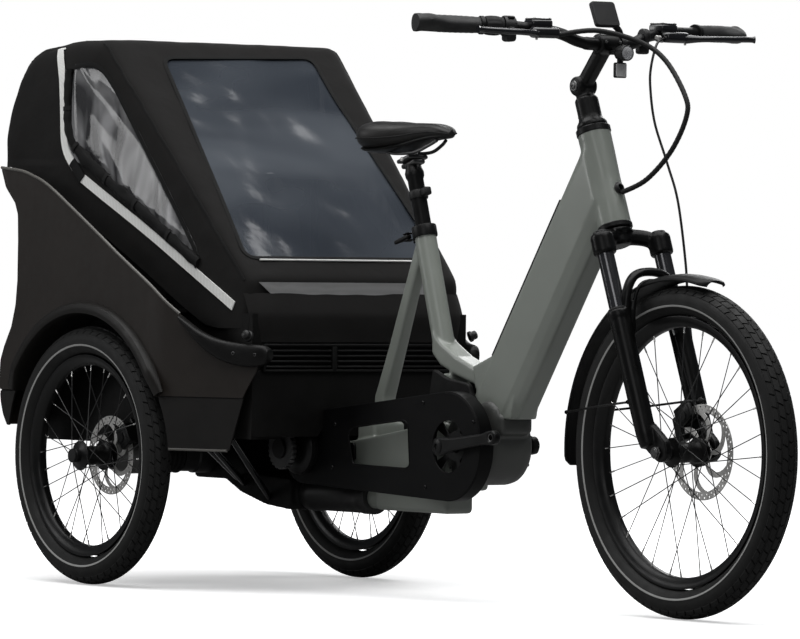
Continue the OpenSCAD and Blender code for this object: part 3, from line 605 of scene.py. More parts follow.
M = {
    "frame": plain("frame_paint", (0.232, 0.250, 0.224), 0.34, grain=(1500, 0.05), tone=0.05, coat=0.35),
    "black_metal": plain("black_anodised", (0.008, 0.008, 0.008), 0.36, metallic=0.3, grain=(1800, 0.1),
                         specular=0.3),
    "black_gloss": plain("black_gloss_paint", (0.008, 0.008, 0.009), 0.2, grain=(900, 0.03), coat=0.6),
    "fork": plain("fork_paint", (0.004, 0.004, 0.004), 0.3, grain=(900, 0.04), specular=0.22),
    "steel": plain("brushed_steel", (0.70, 0.69, 0.67), 0.34, metallic=0.55, grain=(260, 0.25),
                   stretch=(1, 6, 1)),
    "dark_steel": plain("dark_steel", (0.11, 0.11, 0.11), 0.35, metallic=0.9, grain=(500, 0.2)),
    "stanchion": plain("stanchion_coating", (0.13, 0.13, 0.135), 0.14, metallic=0.9, grain=(700, 0.05)),
    "spoke": plain("black_spoke", (0.05, 0.05, 0.05), 0.3, metallic=0.7, grain=(900, 0.05)),
    "nipple": plain("bright_nipple", (0.75, 0.74, 0.72), 0.25, metallic=1.0, grain=(900, 0.1)),
    "rim": plain("black_rim", (0.010, 0.010, 0.010), 0.33, metallic=0.3, grain=(1300, 0.08), specular=0.3),
    "shell": plain("grained_shell", (0.0172, 0.0138, 0.0115), 0.52, grain=(1100, 0.35), tone=0.12,
                   specular=0.28),
    "sill": plain("sill_plastic", (0.0088, 0.0080, 0.0074), 0.52, grain=(1100, 0.35), tone=0.12,
                  specular=0.24),
    "trim": plain("matt_trim", (0.0045, 0.0045, 0.0045), 0.55, grain=(1300, 0.3), specular=0.18),
    "rubber": plain("rubber", (0.008, 0.008, 0.008), 0.62, grain=(1500, 0.3), specular=0.3),
    "motor": plain("cast_casing", (0.062, 0.064, 0.060), 0.42, metallic=0.2, grain=(800, 0.35)),
    "axle": plain("dark_grey_cast", (0.018, 0.018, 0.018), 0.4, metallic=0.3, grain=(900, 0.25)),
    "belt": plain("belt_rubber", (0.01, 0.01, 0.01), 0.6, grain=(1300, 0.3)),
    "saddle": plain("saddle_cover", (0.0125, 0.012, 0.0115), 0.44, grain=(420, 0.5), specular=0.35),
    "canopy": cloth("canopy_cloth", (0.0098, 0.0093, 0.0090), thread=0.0007, bump=0.12, contrast=1.1),
    "binding": cloth("binding_tape", (0.0065, 0.0065, 0.0065), thread=0.0008, roughness=0.7, bump=0.2,
                     contrast=1.2),
    "cushion": cloth("bench_cloth", (0.03, 0.03, 0.031), thread=0.0016, roughness=0.9, sheen=0.3, bump=0.8),
    "strap": cloth("webbing", (0.012, 0.012, 0.012), thread=0.0013, roughness=0.75, bump=0.8),
    "reflector": cloth("reflective_tape", (0.78, 0.78, 0.75), thread=0.0009, roughness=0.5, sheen=0.0,
                       tone=0.04, bump=0.15, specular=0.5),
    "reflective_band": cloth("reflective_band", (0.22, 0.22, 0.22), thread=0.0009, roughness=0.5, sheen=0.0,
                             tone=0.08, bump=0.15, specular=0.5),
    # The windshield and side window films carry painted reflections: their base colour runs from the dark to
    # the light colour in soft patches.
    "screen_film": film("windshield_film", (0.034, 0.040, 0.050), (0.074, 0.083, 0.096), 0.92, 2.6,
                        (0.7, 0.45, 2.0)),
    "side_film": film("side_window_film", (0.040, 0.040, 0.042), (0.25, 0.25, 0.255), 0.93, 6.0,
                      (2.4, 1, 0.8)),
    "lens": plain("red_lens", (0.30, 0.008, 0.008), 0.15, grain=(300, 0.15), coat=0.6),
    # The lamp glass film carries painted reflections in the same way.
    "lamp_glass": film("lamp_glass", (0.6, 0.6, 0.62), (0.75, 0.75, 0.77), 0.35, 60.0, (1, 1, 1), 0.04),
    "amber": plain("clear_reflector", (0.5, 0.5, 0.5), 0.2, grain=(420, 0.9), coat=0.5),
    "screen": plain("display_glass", (0.006, 0.006, 0.007), 0.08, grain=(300, 0.02), coat=1.0),
    "plastic": plain("black_plastic", (0.009, 0.009, 0.009), 0.44, grain=(1200, 0.25), specular=0.35),
    "guard": plain("guard_plastic", (0.0028, 0.0028, 0.003), 0.38, grain=(1400, 0.2), specular=0.12),
    "grip": plain("grip_rubber", (0.012, 0.012, 0.012), 0.6, grain=(1100, 0.5)),
    "fender": plain("fender_plastic", (0.005, 0.005, 0.005), 0.45, grain=(1500, 0.12), specular=0.2),
    "chrome": plain("lamp_reflector", (0.85, 0.85, 0.85), 0.08, metallic=1.0, grain=(200, 0.05)),
    "braid": plain("braided_sleeve", (0.011, 0.011, 0.011), 0.55, grain=(1600, 0.6), specular=0.3),
    "hose": plain("hose_skin", (0.01, 0.01, 0.01), 0.35, grain=(900, 0.1)),
    "arch": plain("arch_plastic", (0.0090, 0.0080, 0.0070), 0.42, grain=(1300, 0.3), tone=0.12,
                  specular=0.24),
    # Pale grey-brown for the shell's rolled edges: a painted highlight, far lighter than the shell itself.
    "painted_edge_highlight": plain("painted_edge_highlight", (0.13, 0.125, 0.115), 0.3, grain=(1300, 0.1)),
    "tub": plain("tub_plastic", (0.0035, 0.0033, 0.0031), 0.55, grain=(1100, 0.4), specular=0.18),
    "bumper": plain("bumper_plastic", (0.0050, 0.0048, 0.0047), 0.42, grain=(1000, 0.35), specular=0.2),
    "cast_light": plain("light_casting", (0.16, 0.16, 0.155), 0.45, metallic=0.3, grain=(600, 0.3)),
}


def tyre_material(name, radius):
    """Rubber whose sidewall carries one reflective ring."""
    ring = radius - TYRE_R + TYRE_R * cos(radians(105))
    return ringed(name, (0.0085, 0.0085, 0.0082), 0.62, (ring - 0.0018, ring + 0.0018), (0.36, 0.36, 0.35),
                  grain=(700, 0.35), specular=0.3)


# ---------------------------------------------------------------- wheels

TYRE_R = 0.030
RIM_HEIGHT = 0.022
SPOKES_PER_SIDE = 16

# Share of one tread pitch, and whether that column lies in the groove between two blocks
TREAD_COLUMNS = [(0.0, True), (0.05, True), (0.10, False), (0.50, False), (0.95, False)]
# Angle from the crown in degrees, how deep the tyre is cut there, and whether the cross grooves reach it
TREAD_ROWS = [(0, 0.0, True), (9, 0.0, True), (11, 0.0016, False), (14, 0.0016, False), (16, 0.0, True),
              (25, 0.0, True), (34, 0.0, True), (36, 0.0014, False), (39, 0.0014, False), (41, 0.0, True),
              (50, 0.0, True), (57, 0.0, True), (60, 0.0010, False), (66, 0.0004, False), (76, 0.0, False),
              (88, 0.0, False), (98, 0.0002, False), (101, -0.0003, False), (109, -0.0003, False),
              (112, 0.0002, False), (122, 0.0008, False), (132, 0.0012, False), (142, 0.0015, False),
              (152, 0.0015, False)]


def make_tyre(name, centre, radius, body, node):
    """A tyre with staggered tread blocks; its own origin is at the wheel's centre."""
    pitches = round(tau * radius / 0.026)
    rows = [(-a, d, g) for a, d, g in TREAD_ROWS[:0:-1]] + TREAD_ROWS
    points, faces = [], []
    for pitch in range(pitches):
        for share, in_groove in TREAD_COLUMNS:
            for angle, cut, crossed in rows:
                spread = abs(angle) / 57
                stagger = 0.5 if 15 < abs(angle) < 37 else 0.0
                sweep = 0.75 * min(spread, 1) + stagger
                turn = tau * (pitch + share + (sweep if crossed or cut else 0)) / pitches
                if abs(angle) > 57:
                    turn = tau * (pitch + share + 0.75) / pitches
                depth = cut + (0.0030 if in_groove and crossed else 0)
                a = radians(angle)
                r = radius - TYRE_R + (TYRE_R - 0.0003 - depth) * cos(a)
                points.append(Vector((r * cos(turn), (TYRE_R - 0.0003 - depth) * sin(a),
                                      r * sin(turn))))
    count = len(rows)
    columns = pitches * len(TREAD_COLUMNS)
    for c in range(columns):
        d = (c + 1) % columns
        faces += [(c * count + i, c * count + i + 1, d * count + i + 1, d * count + i)
                  for i in range(count - 1)]
        faces.append((c * count + count - 1, c * count, d * count, d * count + count - 1))
    tyre = outward(new_object(name, points, faces))
    tyre.location = centre
    placed(shaded(tyre, 28), body, "tyre", tyre_material(name + "_rubber", radius), node)


def make_rim(name, centre, bead, body, node):
    inner = bead - RIM_HEIGHT
    half = [(bead - 0.002, 0.0145), (bead - 0.0003, 0.0155), (bead - 0.0003, 0.0178),
            (bead - 0.002, 0.0180), (bead - 0.008, 0.0172), (bead - 0.013, 0.0145), (inner + 0.003, 0.0100),
            (inner + 0.0006, 0.0062), (inner, 0.003), (inner, 0)]
    profile = half + [(r, -h) for r, h in half[-2::-1]] + [half[0]]
    rim = lathe(name, profile, Z_LEFT, 128)
    rim.location = centre
    placed(shaded(rim, 30), body, "rim_metal", M["rim"], node)


def make_spokes(name, centre, bead, flange_r, flange_y, body, node):
    """Laced spokes, three cross, with an elbow at the flange and a bright nipple at the rim."""
    spokes, nipples = [], []
    inner = bead - RIM_HEIGHT
    step = tau / SPOKES_PER_SIDE
    for side in (-1, 1):
        for k in range(SPOKES_PER_SIDE):
            lead = 1 if k % 2 else -1
            at_hub = k * step + (side + 1) * step / 4
            at_rim = at_hub + lead * 3 * step
            face = side * (flange_y + (0.0026 if k % 4 < 2 else -0.0026))

            def spot(r, turn, y):
                return Vector((r * cos(turn), y, r * sin(turn)))

            end = spot(inner + 0.003, at_rim, side * 0.004)
            start = spot(flange_r - 0.003, at_hub, side * flange_y)
            elbow = spot(flange_r - 0.003, at_hub, face)
            toward = (end - elbow).normalized()
            spokes.append(tube("s", [start - Vector((0, face - side * flange_y, 0)), elbow,
                                     elbow + toward * 0.003, end], 0.001, 6))
            nipples.append(tube("n", [end - toward * 0.014, end - toward * 0.004, end],
                                lambda t: 0.0017 if t < 0.6 else 0.0026, 8))
    for obj, material, stands in ((joined(name, spokes), M["spoke"], (node,)),
                                  (joined(name + "_nipples", nipples), M["nipple"], ())):
        obj.location = centre
        placed(shaded(obj, 50), body, "spoke_metal", material, *stands)


def make_hub(name, centre, flange_r, flange_y, half, cap, body, node):
    """A flanged hub shell with lathe-turned steps; cap is the side without bolts, or 0."""
    turn = Matrix.Translation(centre) @ Z_LEFT
    profile = [(0.0085, -half), (0.0130, -half), (0.0138, -half + 0.001), (0.0140, -flange_y - 0.006),
               (0.0185, -flange_y - 0.0035)]
    profile += [(flange_r - 0.0006, -flange_y - 0.0017), (flange_r, -flange_y - 0.001),
                (flange_r, -flange_y + 0.001), (flange_r - 0.0006, -flange_y + 0.0017),
                (0.0215, -flange_y + 0.004), (0.0195, -flange_y + 0.009), (0.0188, -0.006),
                (0.0192, -0.005)]
    profile += [(r, -h) for r, h in profile[::-1]]
    parts = [lathe("h", profile, turn, 64)]
    for side in (-1, 1):
        if side == cap:
            continue
        for k in range(6):
            a = k * pi / 3
            parts.append(bolt("b", centre + Vector((0.0105 * cos(a), side * half, 0.0105 * sin(a))),
                              (0, side, 0), 0.0014, 0.0009))
    put(name, parts, body, "hub_metal", M["black_metal"], node)


def make_rotor(name, centre, radius, side, body, node):
    """A drilled brake ring on curved arms, bolted to a black carrier; side is where its carrier lies."""
    holes = []
    ring_in, ring_out = radius - 0.0155, radius - 0.0004
    for k in range(36):
        turn = tau * k / 36
        holes.append(circle(0.0019, 10, ((ring_in + 0.0045) * cos(turn), (ring_in + 0.0045) * sin(turn))))
        turn += pi / 36
        holes.append(circle(0.0022, 10, ((ring_in + 0.0105) * cos(turn), (ring_in + 0.0105) * sin(turn))))
    arms, inner_r, outer_r = 6, 0.027, ring_in
    for k in range(arms):
        low = tau * k / arms
        window = []
        for t in [i / 8 for i in range(9)]:
            turn = low + 0.13 + 0.62 * t * t
            window.append(((inner_r + (outer_r - inner_r) * t) * cos(turn),
                           (inner_r + (outer_r - inner_r) * t) * sin(turn)))
        for t in [i / 8 for i in range(9)]:
            turn = low + 0.75 + (tau / arms - 0.26) * t
            window.append((outer_r * cos(turn), outer_r * sin(turn)))
        for t in [1 - i / 8 for i in range(9)]:
            turn = low + tau / arms - 0.13 + 0.62 * t * t
            window.append(((inner_r + (outer_r - inner_r) * t) * cos(turn),
                           (inner_r + (outer_r - inner_r) * t) * sin(turn)))
        holes.append(window)
    turn = Matrix.Translation(centre) @ Z_RIGHT
    disc = plate(name, circle(ring_out, 144), holes + [circle(0.0205, 48)], 0.0019, turn, 0.0002, 1)
    placed(shaded(disc, 40), body, "rotor_steel", M["steel"], node)
    parts = [lathe("c", [(0.0145, 0.0012), (0.0255, 0.0012), (0.0262, 0.002), (0.0255, 0.0045),
                         (0.0145, 0.005), (0.0145, 0.0012)],
                   Matrix.Translation(centre) @ Matrix.Rotation(side * pi / 2, 4, "X"), 48)]
    for k in range(6):
        a = tau * (k + 0.5) / 6
        spot = centre + Vector((0.0222 * cos(a), 0, 0.0222 * sin(a)))
        parts.append(bolt("b", spot + Vector((0, side * -0.005, 0)), (0, -side, 0), 0.0026, 0.002))
    put(name + "_carrier", parts, body, "hub_metal", M["black_metal"])


def make_wheel(word, end, centre, flange_r, flange_y, half, cap, body):
    """One wheel with its rotor; the names of its pieces and nodes start with word and finish with end."""
    low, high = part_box(word + "_rim" + end)
    bead = (high.x - low.x) / 2
    make_tyre(word + "_tyre_tread" + end, centre, centre.z, body, word + "_tyre" + end)
    make_rim(word + "_rim_turned" + end, centre, bead, body, word + "_rim" + end)
    make_spokes(word + "_lacing" + end, centre, bead, flange_r, flange_y, body, word + "_spokes" + end)
    make_hub(word + "_hub_shell" + end, centre, flange_r, flange_y, half, cap, body, word + "_hub" + end)
    low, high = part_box(word + "_rotor" + end)
    inward = -1 if body == "rear_wheel_left" else 1
    disc = Vector((centre.x, low.y + 0.001 if inward < 0 else high.y - 0.001, centre.z))
    make_rotor(word + "_rotor_disc" + end, disc, (high.x - low.x) / 2, inward, body, word + "_rotor" + end)


def make_wheels():
    for word, side in SIDES:
        centre = Vector((REAR_AXLE.x, side * abs(REAR_AXLE.y), REAR_AXLE.z))
        make_wheel("rear", "_" + word, centre, 0.030, 0.028, 0.044, -side, "rear_wheel_" + word)
    make_wheel("front", "", FRONT_AXLE, 0.028, 0.030, 0.049, 0, "front_wheel")

# ---------------------------------------------------------------- leaning frame


def hull_2d(points):
    """The outline of the smallest convex shape round flat points."""
    points = sorted(set((round(p[0], 6), round(p[1], 6)) for p in points))

    def half(sequence):
        chain = []
        for p in sequence:
            while len(chain) > 1 and ((chain[-1][0] - chain[-2][0]) * (p[1] - chain[-2][1])
                                      - (chain[-1][1] - chain[-2][1]) * (p[0] - chain[-2][0])) <= 0:
                chain.pop()
            chain.append(p)
        return chain[:-1]

    return half(points) + half(points[::-1])


def prism(name, outline, low, high, matrix=Matrix.Identity(4)):
    """A closed solid: an outline in a matrix's local XY, from one local Z to another."""
    return loft(name, [[matrix @ Vector((p[0], p[1], h)) for p in outline] for h in (low, high)])


def side_prism(name, outline, y0, y1):
    """A solid whose outline is drawn in the tricycle's X and Z, between two sideways places."""
    return prism(name, outline, -y1, -y0, side_plane(0))


def sliced(obj, place, normal):
    """Cuts a solid by a plane, throws away the side that the normal points to, and closes it."""
    bm = bmesh.new()
    bm.from_mesh(obj.data)
    cut = bmesh.ops.bisect_plane(bm, geom=bm.verts[:] + bm.edges[:] + bm.faces[:], plane_co=place,
                                 plane_no=normal, clear_outer=True)
    edges = [e for e in cut["geom_cut"] if isinstance(e, bmesh.types.BMEdge)]
    bmesh.ops.holes_fill(bm, edges=edges, sides=0)
    bmesh.ops.recalc_face_normals(bm, faces=bm.faces)
    bm.to_mesh(obj.data)
    bm.free()
    return obj


DOWN_TILT = radians(34.7)
DOWN = axes_at(at(0.920, 0, 0.471), (sin(DOWN_TILT), 0, cos(DOWN_TILT)))
DOWN_SECTION = [(0, 0.028), (0.004, 0.0315), (0.012, 0.034), (0.093, 0.034), (0.112, 0.028),
                (0.127, 0.0195), (0.127, -0.0195), (0.112, -0.028), (0.093, -0.034), (0.012, -0.034),
                (0.004, -0.0315), (0, -0.028)]

# A rounded square, scaled at each station of the seat stay
STAY_RING = rounded([(-1, -1), (1, -1), (1, 1), (-1, 1)], 0.5, 3)


def make_frame():
    parts = [
        lathe("p", [(0, 0), (0.031, 0), (0.0318, 0.006), (0.0315, 0.05), (0.0305, 0.1), (0.0315, 0.15),
                    (0.0318, 0.199), (0.031, 0.205), (0, 0.205)], STEER, 48)]
    down = prism("p", DOWN_SECTION, -0.20, 0.50, DOWN)
    sliced(down, at(0.95, 0, 0.3575), (0, 0, -1))
    sliced(down, local(STEER, 0.0, 0, 0), STEER.to_3x3() @ Vector((1, 0, 0)))
    sliced(down, local(STEER, 0.0, 0, 0.200), STEER.to_3x3() @ Vector((0, 0, 1)))
    parts.append(down)
    parts.append(side_prism("p", [(0.925, 0.478), (0.868, 0.457), (0.874, 0.42), (0.905, 0.3575),
                                  (0.99, 0.3575), (1.0, 0.40)], -0.032, 0.032))
    parts.append(rod("p", local(SEAT, 0, 0, -0.012), local(SEAT, 0, 0, 0.240), 0.0215))
    parts.append(side_prism("p", [(0.722, 0.522), (0.752, 0.500), (0.800, 0.475), (0.872, 0.450),
                                  (0.877, 0.418), (0.800, 0.438), (0.748, 0.458), (0.722, 0.480)], -0.0225,
                            0.0225))
    for side in (-1, 1):
        low, high = sorted((side * 0.032, side * 0.054))
        parts.append(side_prism("p", [(0.463, 0.270), (0.466, 0.290), (0.482, 0.300), (0.602, 0.318),
                                      (0.700, 0.334), (0.745, 0.344), (0.745, 0.250), (0.690, 0.246),
                                      (0.490, 0.256), (0.470, 0.260)], low, high))
    parts.append(loft("p", [[at(x + a * u, b * v, z) for u, v in STAY_RING] for x, z, a, b in (
        (0.535, 0.310, 0.018, 0.0180), (0.541, 0.390, 0.017, 0.0170), (0.580, 0.484, 0.0155, 0.0150),
        (0.619, 0.583, 0.0145, 0.0135), (0.666, 0.700, 0.014, 0.0125))]))
    parts.append(block("p", (0.058, 0.076, 0.046), Matrix.Translation(at(0.528, 0, 0.318)), 0.006))
    parts.append(block("p", (0.075, 0.106, 0.135), Matrix.Translation(at(0.778, 0, 0.281)), 0.008))
    parts.append(block("p", (0.032, 0.05, 0.10), Matrix.Translation(at(0.773, 0, 0.392)), 0.006))
    parts.append(block("p", (0.235, 0.068, 0.044), Matrix.Translation(at(0.673, 0, 0.190)), 0.008))
    parts.append(rod("p", at(0.312, 0, 0.190), at(0.60, 0, 0.190), 0.0219))
    frame_skin = melted("frame_tubes", parts, 0.0026, 6)
    soften_head(frame_skin)
    placed(frame_skin, "front_frame", "frame_paint", M["frame"], "head_tube", "down_tube", "seat_tube",
           "seat_stays", "chainstays")
    groove = [local(DOWN, 0.0022, -0.0305, h) for h in (0.012, 0.1, 0.2, 0.3, 0.375)]
    strip = tube("down_tube_joint_line", groove, 0.0017, 8)
    placed(shaded(strip), "front_frame", "shell_plastic", M["trim"])
    cable_port = lathe("cable_port", [(0.0, 0.0), (0.010, 0.0), (0.0115, 0.003), (0.009, 0.006),
                                      (0.0056, 0.007), (0.0056, 0.001)],
                       Matrix.Translation(local(STEER, 0.030, 0.004, 0.073)) @ STEER.to_3x3().to_4x4()
                       @ Z_FORWARD, 24)
    placed(shaded(cable_port), "front_frame", "shell_plastic", M["plastic"])
    rings = [lathe("r", [(0.0175, z0), (0.0320, z0), (0.0332, z0 + 0.0015), (0.0332, z1 - 0.0015),
                         (0.0320, z1), (0.0175, z1), (0.0175, z0)], STEER, 64)
             for z0, z1 in ((-0.0008, 0.0090), (0.1925, 0.2052))]
    put("headset_rings", rings, "front_frame", "collar_metal", M["black_metal"])


def soften_head(obj):
    """Blends the head tube into the down tube, away from the tube's two turned ends."""
    inverse = STEER.inverted()
    bm = bmesh.new()
    bm.from_mesh(obj.data)
    near = []
    for vert in bm.verts:
        p = inverse @ vert.co
        if 0.022 < p.z < 0.178 and -0.105 < p.x < 0.020:
            near.append(vert)
    for _ in range(14):
        bmesh.ops.smooth_vert(bm, verts=near, factor=0.5, use_axis_x=True, use_axis_y=True, use_axis_z=True)
    bm.to_mesh(obj.data)
    bm.free()


def make_collar():
    parts = [lathe("c", [(0.0212, 0.226), (0.0242, 0.226), (0.0247, 0.228), (0.0247, 0.246),
                         (0.0242, 0.248), (0.0170, 0.2505), (0.0170, 0.248)], SEAT, 48),
             block("c", (0.021, 0.012, 0.024), SEAT @ Matrix.Translation((-0.032, 0.006, 0.237)), 0.003),
             block("c", (0.013, 0.016, 0.0025), SEAT @ Matrix.Translation((-0.036, -0.014, 0.2302)), 0.001),
             block("c", (0.013, 0.016, 0.0025), SEAT @ Matrix.Translation((-0.036, -0.014, 0.2438)), 0.001),
             rod("c", local(SEAT, -0.036, -0.016, 0.2285), local(SEAT, -0.036, -0.016, 0.2455), 0.0029)]
    put("post_collar", parts, "front_frame", "collar_metal", M["black_metal"], "seat_collar")
    outline = rounded([(-0.0300, -0.0095), (-0.0420, -0.0095), (-0.074, -0.0165), (-0.075, -0.0215),
                       (-0.058, -0.0222), (-0.0400, -0.0220), (-0.0300, -0.0220)], 0.004)
    lever = plate("collar_lever", outline, [circle(0.0032, 16, (-0.036, -0.016))], 0.008,
                  SEAT @ Matrix.Translation((0, 0, 0.237)), 0.002)
    placed(shaded(lever), "seat_lever", "collar_metal", M["black_metal"], "seat_lever")


def make_seatpost():
    post = lathe("post_tube", [(0, 0.07), (0.0158, 0.071), (0.0158, 0.344), (0.0185, 0.350),
                               (0.0190, 0.358), (0.0165, 0.366), (0.0150, 0.376), (0, 0.378)], SEAT, 48)
    bracket = lathe("b", [(0.0159, 0.304), (0.0185, 0.304), (0.0192, 0.306), (0.0192, 0.318),
                          (0.0185, 0.320), (0.0159, 0.320)], SEAT, 40)
    lug = block("b", (0.018, 0.016, 0.016), SEAT @ Matrix.Translation((0.0265, 0, 0.312)), 0.003)
    put("post_ring", [bracket, lug], "seatpost", "post_metal", M["plastic"])
    cradle = [block("c", (0.044, 0.030, 0.010), SEAT @ Matrix.Translation((0.001, 0, 0.376)), 0.004),
              block("c", (0.040, 0.050, 0.008), SEAT @ Matrix.Translation((0.001, 0, 0.3855)), 0.003)]
    for side in (-1, 1):
        cradle.append(rod("c", local(SEAT, side * 0.014 + 0.001, 0, 0.366),
                          local(SEAT, side * 0.014 + 0.001, 0, 0.392), 0.0032))
    placed(shaded(post), "seatpost", "post_metal", M["black_metal"], "seatpost")
    put("post_cradle", cradle, "seatpost", "post_metal", M["dark_steel"])
    bolts = [bolt("b", local(SEAT, 0.001, side * 0.0250, 0.3855), (0, side, 0), 0.0045, 0.003)
             for side in (-1, 1)]
    bolts += [bolt("b", local(SEAT, side * 0.014 + 0.001, 0, 0.392), SEAT.to_3x3() @ Vector((0, 0, 1)),
                   0.004, 0.003) for side in (-1, 1)]
    put("post_bolts", bolts, "seatpost", "post_metal", M["steel"])


# Place along the saddle, half width, top, underside
SADDLE_STATIONS = [
    (0.5050, 0.034, 0.9180, 0.8880), (0.5080, 0.050, 0.9260, 0.8800), (0.5160, 0.062, 0.9320, 0.8760),
    (0.5300, 0.069, 0.9350, 0.8740), (0.5500, 0.070, 0.9355, 0.8735), (0.5720, 0.067, 0.9345, 0.8745),
    (0.5950, 0.058, 0.9325, 0.8775), (0.6180, 0.047, 0.9310, 0.8820), (0.6400, 0.038, 0.9305, 0.8870),
    (0.6620, 0.032, 0.9305, 0.8920), (0.6840, 0.028, 0.9300, 0.8960), (0.7060, 0.0255, 0.9285, 0.8985),
    (0.7240, 0.0235, 0.9255, 0.9000), (0.7380, 0.0200, 0.9210, 0.9010), (0.7470, 0.0130, 0.9150, 0.9030),
    (0.7500, 0.0060, 0.9090, 0.9050)]


def make_saddle():
    rings = []
    for x, half, top, under in SADDLE_STATIONS:
        ring = []
        middle, rise = (top + under) / 2, (top - under) / 2
        for k in range(32):
            a = tau * k / 32
            c, s = cos(a), sin(a)
            flat = 0.62 if s > 0 else 0.66
            y = half * copysign(abs(c) ** 0.72, c) * (1.0 if s > 0 else 0.86 + 0.14 * (1 + s))
            z = middle + rise * copysign(abs(s) ** flat, s)
            if s > 0:
                z -= 0.0026 * exp(-(y / 0.009) ** 2) * min(1, half / 0.04)
                z -= 0.05 * y * y / max(half, 0.02)
            ring.append(at(x, y, z))
        rings.append(ring)
    saddle = modified(loft("saddle_pad", rings), "SUBSURF", levels=1)
    placed(shaded(saddle, 80), "seatpost", "saddle_cover", M["saddle"], "saddle")
    seam = []
    for side in (-1, 1):
        path = [at(x, side * (half * 0.985 + 0.0006), under + (top - under) * 0.42)
                for x, half, top, under in SADDLE_STATIONS[1:]]
        seam.append(tube("s", smooth_path(path, 3), 0.0011, 6))
    put("saddle_seams", seam, "seatpost", "saddle_cover", M["rubber"])
    base_rings = []
    for x, half, top, under in SADDLE_STATIONS:
        base_rings.append([at(x, half * 0.8 * cos(tau * k / 24),
                              under + 0.0035 + 0.0065 * sin(tau * k / 24)) for k in range(24)])
    placed(shaded(loft("saddle_base", base_rings), 60), "seatpost", "saddle_cover", M["plastic"])
    rails = []
    for side in (-1, 1):
        path = [at(*p) for p in ((0.545, side * 0.030, 0.886), (0.566, side * 0.024, 0.8745),
                                 (0.592, side * 0.0205, 0.8700), (0.655, side * 0.0205, 0.8720),
                                 (0.695, side * 0.016, 0.885), (0.716, side * 0.011, 0.895))]
        rails.append(tube("r", smooth_path(path, 6), 0.0035, 12))
    put("saddle_rails", rails, "seatpost", "post_metal", M["dark_steel"])


# ---------------------------------------------------------------- drive

BELT_Y = -0.072
CRANK_RISE = radians(7.5)


def make_motor():
    centre = Matrix.Translation(CRANK + Vector((0.008, 0, 0))) @ Z_LEFT
    body = lathe("m", [(0, -0.058), (0.052, -0.058), (0.066, -0.055), (0.073, -0.048), (0.0755, -0.036),
                       (0.0755, 0.036), (0.073, 0.048), (0.066, 0.055), (0.052, 0.058), (0, 0.058)], centre,
                 72)
    lobe = lathe("m", [(0, -0.044), (0.030, -0.044), (0.040, -0.038), (0.042, -0.028), (0.042, 0.028),
                       (0.040, 0.038), (0.030, 0.044), (0, 0.044)],
                 Matrix.Translation(CRANK + Vector((0.052, 0, 0.048))) @ Z_LEFT, 48)
    saddle_top = block("m", (0.15, 0.078, 0.040), Matrix.Translation(CRANK + Vector((0.025, 0, 0.044))),
                       0.010)
    casing = melted("motor_casing", [body, lobe, saddle_top], 0.003, 5)
    placed(casing, "front_frame", "motor_casing", M["motor"], "drive_motor")
    details = []
    for side in (-1, 1):
        for k in range(7):
            a = tau * k / 7 + 0.3
            spot = CRANK + Vector((0.008 + 0.0625 * cos(a), side * 0.0548, 0.0625 * sin(a)))
            details.append(bolt("b", spot, (0, side, 0), 0.0036, 0.0035))
        details.append(lathe("b", [(0.0150, side * 0.057), (0.0300, side * 0.057), (0.0320, side * 0.0585),
                                   (0.0320, side * 0.0600), (0.0290, side * 0.0612),
                                   (0.0150, side * 0.0612), (0.0150, side * 0.057)],
                             Matrix.Translation(CRANK) @ Z_LEFT, 48))
    put("motor_screws", details, "front_frame", "motor_casing", M["dark_steel"])
    ribs = [block("r", (0.050, 0.0035, 0.006),
                  Matrix.Translation(CRANK + Vector((0.052, -0.018 + 0.009 * k, 0.0895))), 0.0015)
            for k in range(5)]
    put("motor_ribs", ribs, "front_frame", "motor_casing", M["motor"])
    cover_outline = rounded([(0.757, 0.450), (0.800, 0.433), (0.873, 0.423), (0.880, 0.405), (0.902, 0.382),
                             (0.868, 0.377), (0.815, 0.350), (0.762, 0.358), (0.746, 0.400)], 0.008)
    covers = [plate("c", cover_outline, [], 0.0115, side_plane(side * 0.0402), 0.003, 3)
              for side in (-1, 1)]
    put("motor_side_covers", covers, "front_frame", "shell_plastic", M["trim"], "motor_cover")


def guard_outline(grow):
    return hull_2d(circle(0.106 + grow, 72, (0.872, 0.303)) + circle(0.070 + grow, 72, (0.395, 0.285)))


def make_guard():
    opening = rounded([(0.542, 0.320), (0.560, 0.331), (0.728, 0.350), (0.741, 0.344), (0.748, 0.262),
                       (0.736, 0.256), (0.560, 0.258)], 0.010)
    face = plate("guard_face", guard_outline(0), [circle(0.050, 48, (0.872, 0.303)), opening], 0.003,
                 side_plane(-0.0905), 0.0012, 3)
    outer = [p for p in guard_outline(0) if p[0] > 0.44]
    start = max(range(len(outer)), key=lambda i: (Vector(outer[i]) - Vector(outer[i - 1])).length)
    outer = outer[start:] + outer[:start]
    middle = Vector((0.7, 0.30))
    inner = [tuple(Vector(p) + (middle - Vector(p)).normalized() * 0.003) for p in outer]
    wall = loft("w", [[at(p[0], y, p[1]) for p in outer + inner[::-1]] for y in (-0.0898, -0.0625)])
    ridge = tube("w", [at(p[0] + (middle.x - p[0]) * 0.012, -0.0918, p[1] + (middle.y - p[1]) * 0.03)
                       for p in outer], 0.0011, 8)
    rim = tube("w", [at(p[0], -0.092 + 0.0006, p[1]) for p in opening]
               + [at(opening[0][0], -0.0914, opening[0][1])], 0.0016, 8)
    bolts = [bolt("b", at(x, -0.0918, z), (0, -1, 0), 0.0042, 0.0024)
             for x, z in ((0.500, 0.335), (0.492, 0.250), (0.790, 0.385), (0.800, 0.222), (0.952, 0.352))]
    put("guard_cover", [face, wall], "front_frame", "guard_plastic", M["guard"], "belt_guard")
    put("guard_edges", [ridge, rim], "front_frame", "guard_plastic", M["guard"])
    put("guard_bolts", bolts, "front_frame", "guard_plastic", M["black_metal"])


